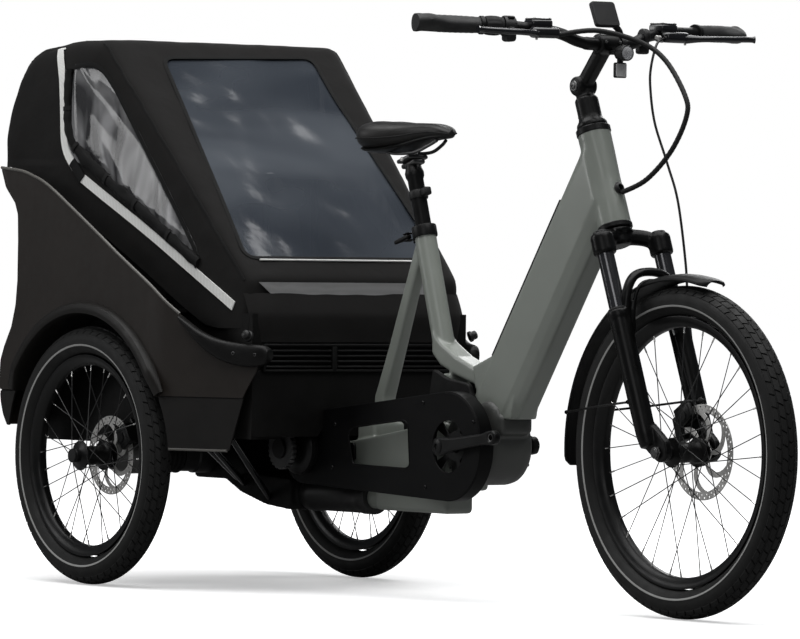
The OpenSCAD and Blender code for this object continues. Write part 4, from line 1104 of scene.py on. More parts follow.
def toothed(radius, teeth, depth):
    """A pulley's outline: radius over the tooth tips, depth down to the roots."""
    points = []
    for k in range(teeth):
        for share, r in ((0.0, radius - depth), (0.22, radius - depth), (0.36, radius), (0.74, radius),
                         (0.88, radius - depth)):
            a = tau * (k + share) / teeth
            points.append((r * cos(a), r * sin(a)))
    return points


def make_pulleys():
    on_crank = Matrix.Translation(CRANK + Vector((0, BELT_Y, 0))) @ Z_RIGHT
    windows = []
    for k in range(5):
        low = tau * k / 5 + 0.15
        window = [(0.030 * cos(low + t * 0.94), 0.030 * sin(low + t * 0.94))
                  for t in (0, 0.25, 0.5, 0.75, 1)]
        window += [(0.070 * cos(low + t * 0.94), 0.070 * sin(low + t * 0.94))
                   for t in (1, 0.8, 0.6, 0.4, 0.2, 0)]
        windows.append(rounded(window, 0.004, 2))
    ring = plate("p", toothed(0.0868, 50, 0.0028), [circle(0.0735, 72)], 0.012, on_crank, 0.0005, 1)
    spider = plate("p", circle(0.0738, 72), windows + [circle(0.0123, 32)], 0.0045, on_crank, 0.001)
    put("crank_pulley", [ring, spider], "crank", "pulley_metal", M["black_metal"], "front_pulley")
    on_hub = Matrix.Translation(HUB + Vector((0, BELT_Y, 0))) @ Z_RIGHT
    small = plate("hub_pulley_ring", toothed(0.0418, 24, 0.0028), [circle(0.0203, 32)], 0.012, on_hub,
                  0.0005, 1)
    placed(shaded(small), "hub_pulley", "pulley_metal", M["dark_steel"], "rear_pulley")
    centres = ((Vector((0.872, 0.303)), 0.0872), (Vector((0.395, 0.285)), 0.0422))
    loop = hull_2d([p for c, r in centres for p in circle(r, 180, c)])
    fine = []
    for a, b in zip(loop, loop[1:] + loop[:1]):
        a, b = Vector(a), Vector(b)
        steps = max(1, round((b - a).length / 0.0022))
        fine += [a.lerp(b, k / steps) for k in range(steps)]
    rings = []
    for i, p in enumerate(fine):
        along = (fine[(i + 1) % len(fine)] - fine[i - 1]).normalized()
        out = Vector((along.y, -along.x))
        tooth = 0.0 if (i % 5) in (1, 2, 3) else 0.0022
        low, high = p + out * tooth, p + out * 0.0046
        rings.append([at(low.x, BELT_Y - 0.0052, low.y), at(low.x, BELT_Y + 0.0052, low.y),
                      at(high.x, BELT_Y + 0.0052, high.y), at(high.x, BELT_Y - 0.0052, high.y)])
    belt = outward(loft("toothed_belt", rings + rings[:1], capped=False))
    placed(shaded(belt, 30), "front_frame", "belt", M["belt"], "drive_belt")


def make_cranks():
    arms, bright = [], []
    for side in (-1, 1):
        turn = Matrix.Translation(CRANK) @ Matrix.Rotation(-CRANK_RISE, 4, "Y")
        if side > 0:
            turn = turn @ Matrix.Rotation(pi, 4, "Y")
        face = turn @ Matrix.Translation((0, side * 0.111, 0)) @ Z_RIGHT
        outline = rounded([(-0.016, -0.010), (-0.010, -0.017), (0.010, -0.018), (0.035, -0.0125),
                           (0.140, -0.0105), (0.160, -0.0140), (0.178, -0.0130), (0.1845, -0.005),
                           (0.1845, 0.005), (0.178, 0.0130), (0.160, 0.0140), (0.140, 0.0105),
                           (0.035, 0.0125), (0.010, 0.018), (-0.010, 0.017), (-0.016, 0.010)], 0.012)
        arms.append(plate("a", outline, [circle(0.0072, 24, (0.170, 0))], 0.0155, face, 0.0040, 4))
        arms.append(lathe("a", [(0, 0.0062), (0.0125, 0.0062), (0.0145, 0.0072), (0.0150, 0.0085),
                                (0.0125, 0.0098), (0.0060, 0.0100), (0.0052, 0.0075), (0, 0.0075)],
                          face @ Matrix.Scale(-side, 4, (0, 0, 1)), 32))
        bright.append(lathe("a", [(0.0058, -0.0066), (0.0078, -0.0070), (0.0078, 0.0070), (0.0058, 0.0066)],
                            face @ Matrix.Translation((0.170, 0, 0)), 24))
    arms.append(rod("a", CRANK + Vector((0, -0.106, 0)), CRANK + Vector((0, 0.106, 0)), 0.0119, 40))
    put("forged_cranks", arms, "crank", "crank_metal", M["black_metal"], "crank_arms")
    put("pedal_eyes", bright, "crank", "crank_metal", M["dark_steel"])


def make_gear_hub():
    turn = Matrix.Translation(HUB) @ Z_LEFT
    shell = lathe("g", [(0.008, -0.046), (0.034, -0.046), (0.046, -0.043), (0.0515, -0.037),
                        (0.0518, -0.030), (0.048, -0.027), (0.0475, 0.027), (0.0518, 0.030),
                        (0.0515, 0.037), (0.046, 0.043), (0.034, 0.046), (0.008, 0.046)], turn, 64)
    axle = rod("g", HUB + Vector((0, -0.065, 0)), HUB + Vector((0, 0.065, 0)), 0.008)
    driver = rod("g", HUB + Vector((0, -0.084, 0)), HUB + Vector((0, -0.060, 0)), 0.0198, 40)
    straps = [plate("g",
                    rounded([(0.370, 0.264), (0.370, 0.306), (0.430, 0.306), (0.520, 0.298),
                             (0.520, 0.264)], 0.008), [], 0.0058, side_plane(side * 0.057), 0.001)
              for side in (-1, 1)]
    put("gear_hub_shell", [shell, axle, driver] + straps, "front_frame", "collar_metal", M["black_metal"],
        "gear_hub")


# ---------------------------------------------------------------- cockpit

BAR = local(STEER, 0.092, 0, 0.340) - DATUM


def bar_path(side):
    """The handlebar's centre line from the middle to one end, with rounded bends."""
    points = [Vector((BAR.x, 0, BAR.z)), Vector((BAR.x, side * 0.060, BAR.z)),
              Vector((BAR.x - 0.008, side * 0.105, BAR.z + 0.019)),
              Vector((BAR.x - 0.031, side * 0.190, BAR.z + 0.028)),
              Vector((BAR.x - 0.086, side * 0.383, BAR.z + 0.031))]
    path = [points[0]]
    for i in range(1, 4):
        a = points[i] + (points[i - 1] - points[i]).normalized() * 0.022
        b = points[i] + (points[i + 1] - points[i]).normalized() * 0.022
        path += [(1 - t) ** 2 * a + 2 * t * (1 - t) * points[i] + t * t * b
                 for t in [k / 8 for k in range(9)]]
    return [DATUM + p for p in path + [points[4]]]


def grip_axes(side):
    """Local Z runs from the bar's end inwards along the grip, local X roughly forward."""
    end, elbow = bar_path(side)[-1], DATUM + Vector((BAR.x - 0.031, side * 0.190, BAR.z + 0.028))
    inward = (elbow - end).normalized()
    up = Vector((0, 0, 1))
    forward = up.cross(inward) * side * -1
    forward.normalize()
    up = inward.cross(forward)
    return Matrix.Translation(end) @ Matrix((forward, up, inward)).transposed().to_4x4()


def make_handlebar():
    left, right = bar_path(1), bar_path(-1)
    bar = tube("handlebar_tube", right[::-1] + left[1:], lambda t: 0.0111 if abs(t - 0.5) > 0.06
               else 0.0125, 24)
    placed(shaded(bar), "steering", "cockpit_metal", M["black_metal"], "handlebar")
    grips, rings = [], []
    for side in (-1, 1):
        axes = grip_axes(side)
        sections = []
        for i in range(25):
            t = i / 24
            z = -0.003 + 0.131 * t
            r = 0.0150 + 0.0012 * sin(pi * t) + 0.0022 * exp(-((t - 0.02) / 0.05) ** 2)
            wing = 0.0200 * exp(-((t - 0.16) / 0.20) ** 2)
            rib = 0.0004 if i % 2 and 0.3 < t < 0.95 else 0.0
            ring = []
            for k in range(28):
                a = tau * k / 28
                palm = max(0.0, cos(a - radians(165))) ** 3
                ring.append(local(axes, (r + rib + wing * palm) * cos(a),
                                  (r + rib + wing * palm) * sin(a) * (1 - 0.25 * palm), z))
            sections.append(ring)
        grips.append(loft("g", sections))
        rings.append(lathe("c", [(0.0113, 0.1265), (0.0168, 0.1265), (0.0176, 0.1275), (0.0176, 0.1335),
                                 (0.0168, 0.1345), (0.0113, 0.1345)], axes, 40))
    put("shaped_grips", grips, "steering", "grip_rubber", M["grip"], "grips", angle=40)
    put("grip_clamps", rings, "steering", "cockpit_metal", M["black_metal"])


def make_shifter():
    axes = grip_axes(-1)
    rings = []
    for i in range(23):
        t = i / 22
        z = 0.1365 + 0.0355 * t
        r = 0.0165 + 0.0018 * sin(pi * min(1, t * 1.1))
        ring = []
        for k in range(48):
            reach = r + (0.0007 if (k // 2) % 2 and 0.08 < t < 0.8 else 0)
            ring.append(local(axes, reach * cos(pi * k / 24), reach * sin(pi * k / 24), z))
        rings.append(ring)
    placed(shaded(loft("shifter_barrel", rings), 30), "shifter", "grip_rubber", M["rubber"],
           "twist_shifter")
    pod = block("p", (0.034, 0.030, 0.020), axes @ Matrix.Translation((-0.004, -0.014, 0.1850)), 0.006)
    dial = block("p", (0.026, 0.004, 0.013), axes @ Matrix.Translation((-0.004, 0.0165, 0.1850)), 0.0015)
    neck = lathe("p", [(0.0113, 0.1735), (0.0190, 0.1735), (0.0200, 0.1765), (0.0200, 0.1935),
                       (0.0170, 0.1965), (0.0113, 0.1965)], axes, 40)
    put("shifter_housing", [pod, dial, neck], "steering", "cockpit_metal", M["plastic"])


def make_levers():
    housings, metal = [], []
    for side in (-1, 1):
        place = DATUM + Vector((BAR.x, 0, BAR.z))
        body = Matrix.Translation(place + Vector((0.013, side * 0.157, 0.0165))) @ Matrix.Rotation(side
                * 0.12, 4, "Z")
        housings.append(block("h", (0.022, 0.058, 0.020), body, 0.006, 4))
        tank = Matrix.Translation(place + Vector((-0.0155, side * 0.150, 0.0335))) @ Matrix.Rotation(side
                * 0.15, 4, "Z")
        housings.append(block("h", (0.038, 0.044, 0.017), tank, 0.005, 4))
        housings.append(block("h", (0.034, 0.040, 0.003), tank @ Matrix.Translation((0, 0, 0.0093)), 0.0014,
                              2))
        clamp = place + Vector((-0.0225, side * 0.150, 0.0245))
        toward = Vector((0.023, side * -0.085, 0.009)).normalized()
        housings.append(rod("h", clamp - toward * 0.007, clamp + toward * 0.007, 0.0165, 40, 0.0015))
        for dx, dy in ((-0.014, -0.016), (0.014, -0.016), (-0.014, 0.016), (0.014, 0.016)):
            metal.append(bolt("b", local(tank, dx, dy, 0.0105), (0, 0, 1), 0.0022, 0.0016))
        pin = place + Vector((0.016, side * 0.178, 0.014))
        metal.append(rod("b", pin - Vector((0, 0, 0.0115)), pin + Vector((0, 0, 0.0115)), 0.0024, 16))
        nut = place + Vector((0.010, side * 0.122, 0.0155))
        metal.append(rod("b", nut, nut + Vector((0.003, side * -0.012, 0.0)), 0.0042, 12))
        word = "left" if side > 0 else "right"
        blade_path = smooth_path([pin, pin + Vector((0.014, side * 0.024, 0.0005)),
                                  pin + Vector((0.0225, side * 0.055, 0.001)),
                                  pin + Vector((0.0215, side * 0.105, 0.002)),
                                  pin + Vector((0.0190, side * 0.140, 0.003)),
                                  pin + Vector((0.0215, side * 0.1535, 0.003))], 6)
        blade = tube("l", blade_path, lambda t: 0.0042 + 0.0022 * exp(-(t / 0.15) ** 2)
                     + 0.0012 * exp(-((t - 1) / 0.06) ** 2), 16, squash=1.35)
        boss = rod("l", pin - Vector((0, 0, 0.0048)), pin + Vector((0, 0, 0.0048)), 0.0072, 24)
        put("lever_blade_" + word, [blade, boss], "brake_lever_" + word, "cockpit_metal", M["black_gloss"],
            "brake_lever_" + word)
    put("brake_bodies", housings, "steering", "cockpit_metal", M["black_gloss"], "lever_mounts")
    put("brake_screws", metal, "steering", "cockpit_metal", M["steel"])


def make_stem():
    parts = [lathe("s", [(0, 0.2055), (0.0290, 0.2055), (0.0300, 0.2075), (0.0292, 0.2150),
                         (0.0262, 0.2175), (0.0262, 0.2195), (0.0235, 0.2205), (0.0232, 0.2255),
                         (0.0225, 0.2262), (0.0225, 0.2640), (0.0200, 0.2670), (0.0175, 0.2690),
                         (0.0170, 0.2860), (0, 0.287)], STEER, 56)]
    knuckle = local(STEER, 0, 0, 0.291)
    parts.append(cross_rod("s", knuckle, 0.0215, 0.0185, 40, 0.003))
    clamp = local(STEER, 0.092, 0, 0.340)
    along = (clamp - knuckle).normalized()
    above = Vector((0, 1, 0)).cross(along) * -1
    arm = Matrix((along, Vector((0, 1, 0)), above)).transposed().to_4x4()
    parts.append(block("s", (0.082, 0.030, 0.026), Matrix.Translation((clamp + knuckle) / 2) @ arm, 0.009,
                       4))
    parts.append(cross_rod("s", clamp, 0.0235, 0.0195, 40, 0.003))
    placed(melted("stem_forging", parts, 0.0022, 4), "steering", "cockpit_metal", M["black_metal"], "stem")
    bolts = []
    for side in (-1, 1):
        bolts.append(rod("b", knuckle + Vector((0, side * 0.0205, 0)),
                         knuckle + Vector((0, side * 0.0245, 0)), 0.0105, 32, 0.0015))
        bolts.append(bolt("b", knuckle + Vector((0, side * 0.0245, 0)), (0, side, 0), 0.0062, 0.0022))
    for dy in (-0.0165, 0.0165):
        for dz in (-0.0145, 0.0145):
            bolts.append(bolt("b", clamp + along * 0.0165 + Vector((0, dy, 0)) + above * dz, along, 0.0030,
                              0.0034))
    bolts += [bolt("b", local(STEER, -0.0222, dy, z), STEER.to_3x3() @ Vector((-1, 0, 0)), 0.0036, 0.0035)
              for dy, z in ((-0.006, 0.236), (0.006, 0.252))]
    put("stem_bolts", bolts, "steering", "cockpit_metal", M["dark_steel"])


def make_display():
    middle = DATUM + Vector((BAR.x - 0.006, 0, BAR.z + 0.056))
    face = Matrix.Translation(middle) @ Matrix.Rotation(radians(-25), 4, "Y") @ Matrix.Rotation(
        -pi / 2, 4, "Y") @ Matrix.Rotation(pi / 2, 4, "Z")
    outline = rounded([(-0.028, -0.026), (0.028, -0.026), (0.028, 0.026), (-0.028, 0.026)], 0.007)
    case = plate("d", outline, [], 0.010, face, 0.0022, 3)
    lug = DATUM + Vector((BAR.x, 0.034, BAR.z))
    ring = cross_rod("d", lug, 0.005, 0.0160, 40)
    arm = tube("d", smooth_path([lug + Vector((0, 0, 0.012)), lug + Vector((0.003, -0.006, 0.026)),
                                 middle + Vector((0.004, 0.016, -0.016))], 6), 0.0055, 12, squash=1.5)
    put("display_case", [case, ring, arm], "steering", "display_plastic", M["plastic"], "display")
    glass_outline = rounded([(-0.024, -0.020), (0.024, -0.020), (0.024, 0.022), (-0.024, 0.022)], 0.004)
    glass = plate("display_glass", glass_outline, [], 0.0012, face @ Matrix.Translation((0, 0, 0.0052)),
                  0.0004)
    placed(shaded(glass), "steering", "display_plastic", M["screen"])
    remote = DATUM + Vector((BAR.x - 0.004, 0.094, BAR.z + 0.017))
    parts = [cross_rod("r", remote, 0.006, 0.0155, 32, 0.002),
             block("r", (0.018, 0.024, 0.026), Matrix.Translation(remote + Vector((-0.012, 0.006, -0.020))),
                   0.005)]
    put("remote_pod", parts, "steering", "display_plastic", M["plastic"])


def make_lamp():
    lamp = DATUM + Vector((BAR.x + 0.036, 0, BAR.z - 0.018))
    turn = Matrix.Translation(lamp) @ Z_FORWARD
    shell = lathe("l", [(0, 0), (0.0080, 0.0005), (0.0125, 0.004), (0.0148, 0.010), (0.0150, 0.029),
                        (0.0146, 0.030), (0.0134, 0.0300), (0.0128, 0.0262), (0, 0.0262)], turn, 48)
    neck = block("l", (0.034, 0.012, 0.008), Matrix.Translation(lamp + Vector((-0.004, 0, 0.0015))), 0.002)
    hang = block("l", (0.006, 0.012, 0.016), Matrix.Translation(lamp + Vector((0.007, 0, -0.019))), 0.0015)
    frame_outline = rounded([(-0.0145, -0.0145), (0.0145, -0.0145), (0.0145, 0.0145), (-0.0145, 0.0145)],
                            0.004)
    plane = Matrix.Translation(lamp + Vector((0.0070, 0, -0.032))) @ Z_FORWARD
    back = plate("l", frame_outline, [], 0.0055, plane, 0.0015)
    put("lamp_housing", [shell, neck, hang, back], "steering", "lamp_housing", M["plastic"], "headlight")
    bowl = lathe("b", [(0.0126, 0.0264), (0.0120, 0.0285), (0.0085, 0.0270), (0.0040, 0.0262), (0, 0.0260)],
                 turn, 40)
    placed(shaded(bowl), "steering", "lamp_housing", M["chrome"]).name = "lamp_bowl"
    glass = lathe("lamp_lens", [(0.0134, 0.0292), (0.0100, 0.0306), (0.0050, 0.0314), (0, 0.0316)], turn,
                  40)
    placed(shaded(glass), "steering", "lamp_housing", M["lamp_glass"])
    cells = plate("front_reflector", rounded([(-0.0122, -0.0122), (0.0122, -0.0122), (0.0122, 0.0122),
                                              (-0.0122, 0.0122)], 0.003), [], 0.002,
                  plane @ Matrix.Translation((0, 0, 0.0036)), 0.0005)
    placed(shaded(cells), "steering", "lamp_housing", M["amber"])


# ---------------------------------------------------------------- fork

LEG_FWD, LEG_Y = 0.036, 0.068


def fork_point(x, y, z):
    return local(STEER, x, y, z)


def leg_axes(side):
    """The axes of one fork leg, level with the crown race."""
    return Matrix.Translation(fork_point(LEG_FWD, side * LEG_Y, 0)) @ STEER.to_3x3().to_4x4()


def make_fork():
    crown_parts = [rod("c", fork_point(0, 0, -0.0118), fork_point(0, 0, -0.0012), 0.0305, 48, 0.002),
                   rod("c", fork_point(0, 0, -0.034), fork_point(0, 0, -0.004), 0.0235, 40, 0.004)]
    for side in (-1, 1):
        leg = leg_axes(side)
        crown_parts.append(lathe("c", [(0, -0.0215), (0.0150, -0.0215), (0.0205, -0.0235), (0.0222, -0.030),
                                       (0.0222, -0.060), (0.0200, -0.0635), (0, -0.0635)], leg, 40))
        path = [fork_point(0.002, 0, -0.018), fork_point(0.012, side * 0.026, -0.019),
                fork_point(0.026, side * 0.050, -0.028), fork_point(LEG_FWD, side * LEG_Y, -0.045)]
        crown_parts.append(tube("c", smooth_path(path, 6), 0.0135, 16, squash=1.15))
    crown = melted("crown_forging", crown_parts, 0.0024, 4)
    placed(crown, "steering", "fork_metal", M["fork"], "fork_crown")
    steerer = rod("steerer_tube", fork_point(0, 0, -0.018), fork_point(0, 0, 0.262), 0.0169, 40)
    placed(shaded(steerer), "steering", "fork_metal", M["black_metal"])
    stanchions = [rod("t", fork_point(LEG_FWD, side * LEG_Y, -0.300),
                      fork_point(LEG_FWD, side * LEG_Y, -0.060), 0.0159, 40) for side in (-1, 1)]
    put("stanchion_tubes", stanchions, "steering", "fork_metal", M["stanchion"])
    knobs = []
    for side in (-1, 1):
        leg = leg_axes(side)
        knobs.append(lathe("k", [(0.0150, -0.0225), (0.0150, -0.0185), (0.0120, -0.0168), (0, -0.0165)],
                           leg, 24))
    put("leg_caps", knobs, "steering", "fork_metal", M["dark_steel"])
    lowers = []
    for side in (-1, 1):
        leg = leg_axes(side)
        lowers.append(lathe("l", [(0, -0.1760), (0.0210, -0.1760), (0.0222, -0.1785), (0.0222, -0.1880),
                                  (0.0206, -0.1930), (0.0202, -0.2400), (0.0200, -0.3500),
                                  (0.0190, -0.4200), (0.0160, -0.4430), (0.0, -0.4450)], leg, 40))
        foot = [(0.018, -0.396), (0.050, -0.400), (0.074, -0.436), (0.082, -0.452), (0.078, -0.477),
                (0.060, -0.483), (0.046, -0.478), (0.022, -0.446)]
        turn = STEER @ Matrix.Translation((0, side * 0.0590, 0)) @ Z_RIGHT
        lowers.append(prism("l", rounded(foot, 0.008), -0.0072, 0.0072, turn))
        for lift in (-0.215, -0.245):
            lowers.append(block("l", (0.014, 0.010, 0.014),
                                STEER @ Matrix.Translation((LEG_FWD - 0.018, side * 0.066, lift)), 0.004))
    arch = [(LEG_FWD + 0.006, -0.062, -0.196), (0.056, -0.057, -0.150), (0.066, -0.038, -0.118),
            (0.067, 0, -0.109), (0.066, 0.038, -0.118), (0.056, 0.057, -0.150),
            (LEG_FWD + 0.006, 0.062, -0.196)]
    lowers.append(tube("l", [fork_point(*p) for p in smooth_path(arch, 6)], 0.0085, 12, squash=1.3))
    low_arch = [(x + 0.003, y * 0.80, z - 0.024 if i in (0, 6) else z - 0.019)
                for i, (x, y, z) in enumerate(arch)]
    lowers.append(tube("l", [fork_point(*p) for p in smooth_path(low_arch, 6)], 0.0042, 12))
    lowers.append(block("l", (0.026, 0.022, 0.050), STEER @ Matrix.Translation((0.004, 0.048, -0.398)),
                        0.004))
    skin = melted("fork_castings", lowers, 0.0024, 4)
    placed(skin, "fork", "fork_metal", M["fork"], "fork_lowers")
    seals = []
    for side in (-1, 1):
        leg = leg_axes(side)
        seals.append(lathe("w", [(0.0160, -0.1707), (0.0185, -0.1717), (0.0203, -0.1740), (0.0203, -0.1773),
                                 (0.0160, -0.1773)], leg, 32))
    put("wiper_seals", seals, "fork", "fork_metal", M["rubber"])
    axle_parts = [cross_rod("a", FRONT_AXLE, 0.075, 0.0074, 32)]
    for side in (-1, 1):
        spot = FRONT_AXLE + Vector((0, side * 0.0665, 0))
        axle_parts.append(rod("a", spot, spot + Vector((0, side * 0.004, 0)), 0.013, 6, 0.001))
        axle_parts.append(rod("a", spot + Vector((0, side * 0.004, 0)),
                              spot + Vector((0, side * 0.0075, 0)), 0.0105, 24, 0.001))
    put("front_axle_bolt", axle_parts, "fork", "fork_metal", M["dark_steel"])
    disc = Vector((FRONT_AXLE.x, 0.0425, FRONT_AXLE.z))
    calipers = caliper_blocks(disc, 0.090, radians(122), 1)
    put("front_caliper", calipers, "fork", "caliper_metal", M["black_metal"])


def caliper_blocks(disc, radius, turn, side):
    """A two-half brake caliper straddling a rotor's edge, at an angle round its axle."""
    middle = disc + Vector(((radius - 0.012) * cos(turn), 0, (radius - 0.012) * sin(turn)))
    axes = Matrix.Translation(middle) @ Matrix.Rotation(-turn, 4, "Y")
    parts = []
    for face in (-1, 1):
        parts.append(block("c", (0.030, 0.0125, 0.046),
                           axes @ Matrix.Translation((0.003, face * 0.0088, 0)), 0.004))
        parts.append(lathe("c", [(0, face * 0.0140), (0.0100, face * 0.0140), (0.0105, face * 0.0150),
                                 (0.0098, face * 0.0172), (0, face * 0.0175)],
                           axes @ Z_LEFT, 28))
    parts.append(block("c", (0.009, 0.029, 0.044), axes @ Matrix.Translation((0.0195, 0, 0)), 0.003))
    parts.append(block("c", (0.012, 0.007, 0.070), axes @ Matrix.Translation((0.0155, side * 0.0125, 0)),
                       0.003))
    for dz in (-0.030, 0.030):
        parts.append(bolt("c", local(axes, 0.0155, side * 0.016, dz), (0, side, 0), 0.0042, 0.004))
    return parts


FENDER_R = 0.330
FENDER_TURNS = (75, 186)
FENDER_SECTION = [(-0.0118, -0.0315), (-0.0105, -0.0330), (-0.0080, -0.0330), (-0.0035, -0.0285),
                  (-0.0005, -0.0200), (0.0012, -0.0100), (0.0018, 0.0), (0.0012, 0.0100), (-0.0005, 0.0200),
                  (-0.0035, 0.0285), (-0.0080, 0.0330), (-0.0105, 0.0330), (-0.0118, 0.0315),
                  (-0.0100, 0.0305), (-0.0062, 0.0262), (-0.0030, 0.0190), (-0.0012, 0.0),
                  (-0.0030, -0.0190), (-0.0062, -0.0262), (-0.0100, -0.0305)]


def make_fender():
    rings = []
    start, end = FENDER_TURNS
    count = 72
    for i in range(count + 1):
        t = i / count
        turn = radians(start + (end - start) * t)
        edge = min(1.0, (min(t, 1 - t) * (end - start)) / 3.5)
        narrow = 0.60 + 0.40 * sqrt(max(0.0, 1 - (1 - edge) ** 2))
        rings.append([FRONT_AXLE
                      + Vector(((FENDER_R + h) * cos(turn), w * narrow, (FENDER_R + h) * sin(turn)))
                      for h, w in FENDER_SECTION])
    skin = loft("fender_skin", rings)
    stays = []
    for side in (-1, 1):
        a = FRONT_AXLE + Vector((-0.084, side * 0.066, 0.092))
        turn = radians(168)
        b = FRONT_AXLE + Vector((0.321 * cos(turn), side * 0.0325, 0.321 * sin(turn)))
        bend = a.lerp(b, 0.5) + Vector((0, side * 0.010, 0))
        stays.append(tube("s", smooth_path([a, a.lerp(bend, 0.5) + Vector((0, side * 0.002, 0)), bend, b],
                                           6), 0.0023, 10))
        stays.append(bolt("s", a + Vector((0, side * 0.002, 0)), (0, side, 0), 0.0045, 0.004))
        stays.append(bolt("s", b + Vector((0, side * 0.002, 0)), (0, side, 0), 0.0040, 0.003))
    placed(shaded(skin, 50), "fork", "fender_plastic", M["fender"], "front_fender")
    put("fender_stays", stays, "fork", "fender_plastic", M["black_metal"])


# ---------------------------------------------------------------- hoses

SLEEVE_ROUTE = [(1.245, -0.1255, 1.086), (1.256, -0.040, 1.096), (1.300, 0.030, 1.075),
                (1.350, 0.050, 1.040), (1.408, 0.050, 0.975), (1.416, 0.048, 0.935), (1.388, 0.036, 0.872),
                (1.338, 0.018, 0.818), (1.281, 0.004, 0.793)]
FRONT_HOSE_ROUTE = [(1.248, 0.1255, 1.086), (1.262, 0.098, 1.074), (1.268, 0.080, 1.030),
                    (1.272, 0.076, 0.990), (1.284, 0.078, 0.925), (1.310, 0.088, 0.850),
                    (1.334, 0.096, 0.777), (1.352, 0.102, 0.660), (1.362, 0.100, 0.585),
                    (1.376, 0.098, 0.520), (1.392, 0.092, 0.445), (1.398, 0.060, 0.378)]


def make_hoses():
    path = smooth_path([at(*p) for p in SLEEVE_ROUTE], 16)
    sleeve = tube("cable_sleeve", path, 0.0050, 14)
    for i, v in enumerate(sleeve.data.vertices):
        ring, k = divmod(i, 14)
        centre = path[min(ring, len(path) - 1)]
        if (ring + k) % 2:
            v.co = centre + (v.co - centre) * 0.93
    placed(shaded(sleeve, 60), None, "hose_rubber", M["braid"], "control_hoses")
    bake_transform(sleeve)
    path = smooth_path([at(*p) for p in FRONT_HOSE_ROUTE], 14)
    hose = tube("brake_hose", path, 0.0024, 12)
    placed(shaded(hose, 60), None, "hose_rubber", M["hose"], "front_brake_hose")
    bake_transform(hose)


# ---------------------------------------------------------------- cabin canopy

CANOPY_POINTS = [(-0.331, 0.312, 0.700), (-0.331, 0.312, 0.900), (-0.327, 0.305, 0.955),
                 (-0.305, 0.295, 1.020), (-0.288, 0.288, 1.048), (-0.261, 0.282, 1.068),
                 (-0.170, 0.277, 1.080), (-0.040, 0.272, 1.080), (0.420, 0.242, 0.612),
                 (0.420, 0.242, 0.500)]
# How far the skin lies outside its guiding points
CANOPY_ROUND = 0.020
SLOPE_TOP, SLOPE_LOW = Vector((-0.040, 0, 1.080)), Vector((0.420, 0, 0.612))
SLOPE_DIR = (SLOPE_LOW - SLOPE_TOP).normalized()
SLOPE_OUT = Vector((-SLOPE_DIR.z, 0, SLOPE_DIR.x))
FOOT_LINE = [(-0.420, 0.842), (-0.318, 0.842), (-0.240, 0.812), (-0.173, 0.788), (-0.098, 0.748),
             (0.122, 0.628), (0.250, 0.555), (0.300, 0.528), (0.345, 0.522), (0.460, 0.522), (0.460, 0.300),
             (-0.420, 0.300)]
SIDE_WINDOW = rounded([(-0.150, 1.038), (-0.111, 1.052), (-0.066, 1.052), (-0.028, 1.036), (0.010, 1.000),
                       (0.096, 0.898), (0.161, 0.822), (0.241, 0.726), (0.280, 0.676), (0.290, 0.640),
                       (0.163, 0.709), (0.037, 0.781), (-0.078, 0.846), (-0.122, 0.880), (-0.140, 0.930)],
                      0.018)
SCREEN = rounded([(0.040, -0.176), (0.140, -0.186), (0.430, -0.219), (0.606, -0.240), (0.606, 0.240),
                  (0.430, 0.228), (0.140, 0.203), (0.026, 0.205)], 0.030)


def flat_side(p):
    """The place of a point seen from the side, for points on the canopy's sides."""
    rel = p - DATUM
    return Vector((rel.x, rel.z)) if abs(rel.y) > 0.215 else None


def flat_any(p):
    rel = p - DATUM
    return Vector((rel.x, rel.z))


def lift_side(delta):
    return Vector((delta.x, 0, delta.y))


def flat_slope(p):
    """The place of a point on the sloping front: down the slope, and sideways."""
    rel = p - DATUM - SLOPE_TOP
    return Vector((rel.dot(SLOPE_DIR), rel.y)) if rel.dot(SLOPE_OUT) > -0.012 else None


def lift_slope(delta):
    return SLOPE_DIR * delta.x + Vector((0, delta.y, 0))


def inside(p, outline):
    hit = False
    for a, b in zip(outline, outline[1:] + outline[:1]):
        if (a[1] > p[1]) != (b[1] > p[1]) and p[0] < (b[0] - a[0]) * (p[1] - a[1]) / (b[1] - a[1]) + a[0]:
            hit = not hit
    return hit


def nearest_on(p, outline):
    best = None
    for a, b in zip(outline, outline[1:] + outline[:1]):
        a, b = Vector(a), Vector(b)
        line = b - a
        t = 0 if line.length < 1e-9 else max(0, min(1, (p - a).dot(line) / line.length_squared))
        q = a + line * t
        if best is None or (q - p).length < (best - p).length:
            best = q
    return best


def grown(outline, by):
    """An outline moved outwards by a distance; corners are treated roughly."""
    centre = sum((Vector(p) for p in outline), Vector((0, 0))) / len(outline)
    out = []
    count = len(outline)
    for i in range(count):
        along = Vector(outline[(i + 1) % count]) - Vector(outline[i - 1])
        normal = Vector((along.y, -along.x)).normalized()
        if normal.dot(Vector(outline[i]) - centre) < 0:
            normal.negate()
        out.append(Vector(outline[i]) + normal * by)
    return out


def canopy_skin():
    """The whole rounded form that the canopy and its windows are cut from."""
    bm = bmesh.new()
    for x, y, z in CANOPY_POINTS:
        for side in (-1, 1):
            ball = bmesh.ops.create_icosphere(bm, subdivisions=3, radius=0.0195)
            bmesh.ops.translate(bm, vec=at(x, side * y, z), verts=ball["verts"])
    result = bmesh.ops.convex_hull(bm, input=bm.verts)
    loose = {g for key in ("geom_interior", "geom_unused") for g in result[key]
             if isinstance(g, bmesh.types.BMVert)}
    bmesh.ops.delete(bm, geom=list(loose), context="VERTS")
    skin = new_object("skin", [], [])
    bm.to_mesh(skin.data)
    bm.free()
    modified(skin, "REMESH", mode="VOXEL", voxel_size=0.0065)
    return modified(skin, "SMOOTH", factor=0.5, iterations=26)


def tree_of(obj):
    bm = bmesh.new()
    bm.from_mesh(obj.data)
    tree = BVHTree.FromBMesh(bm)
    bm.free()
    return tree


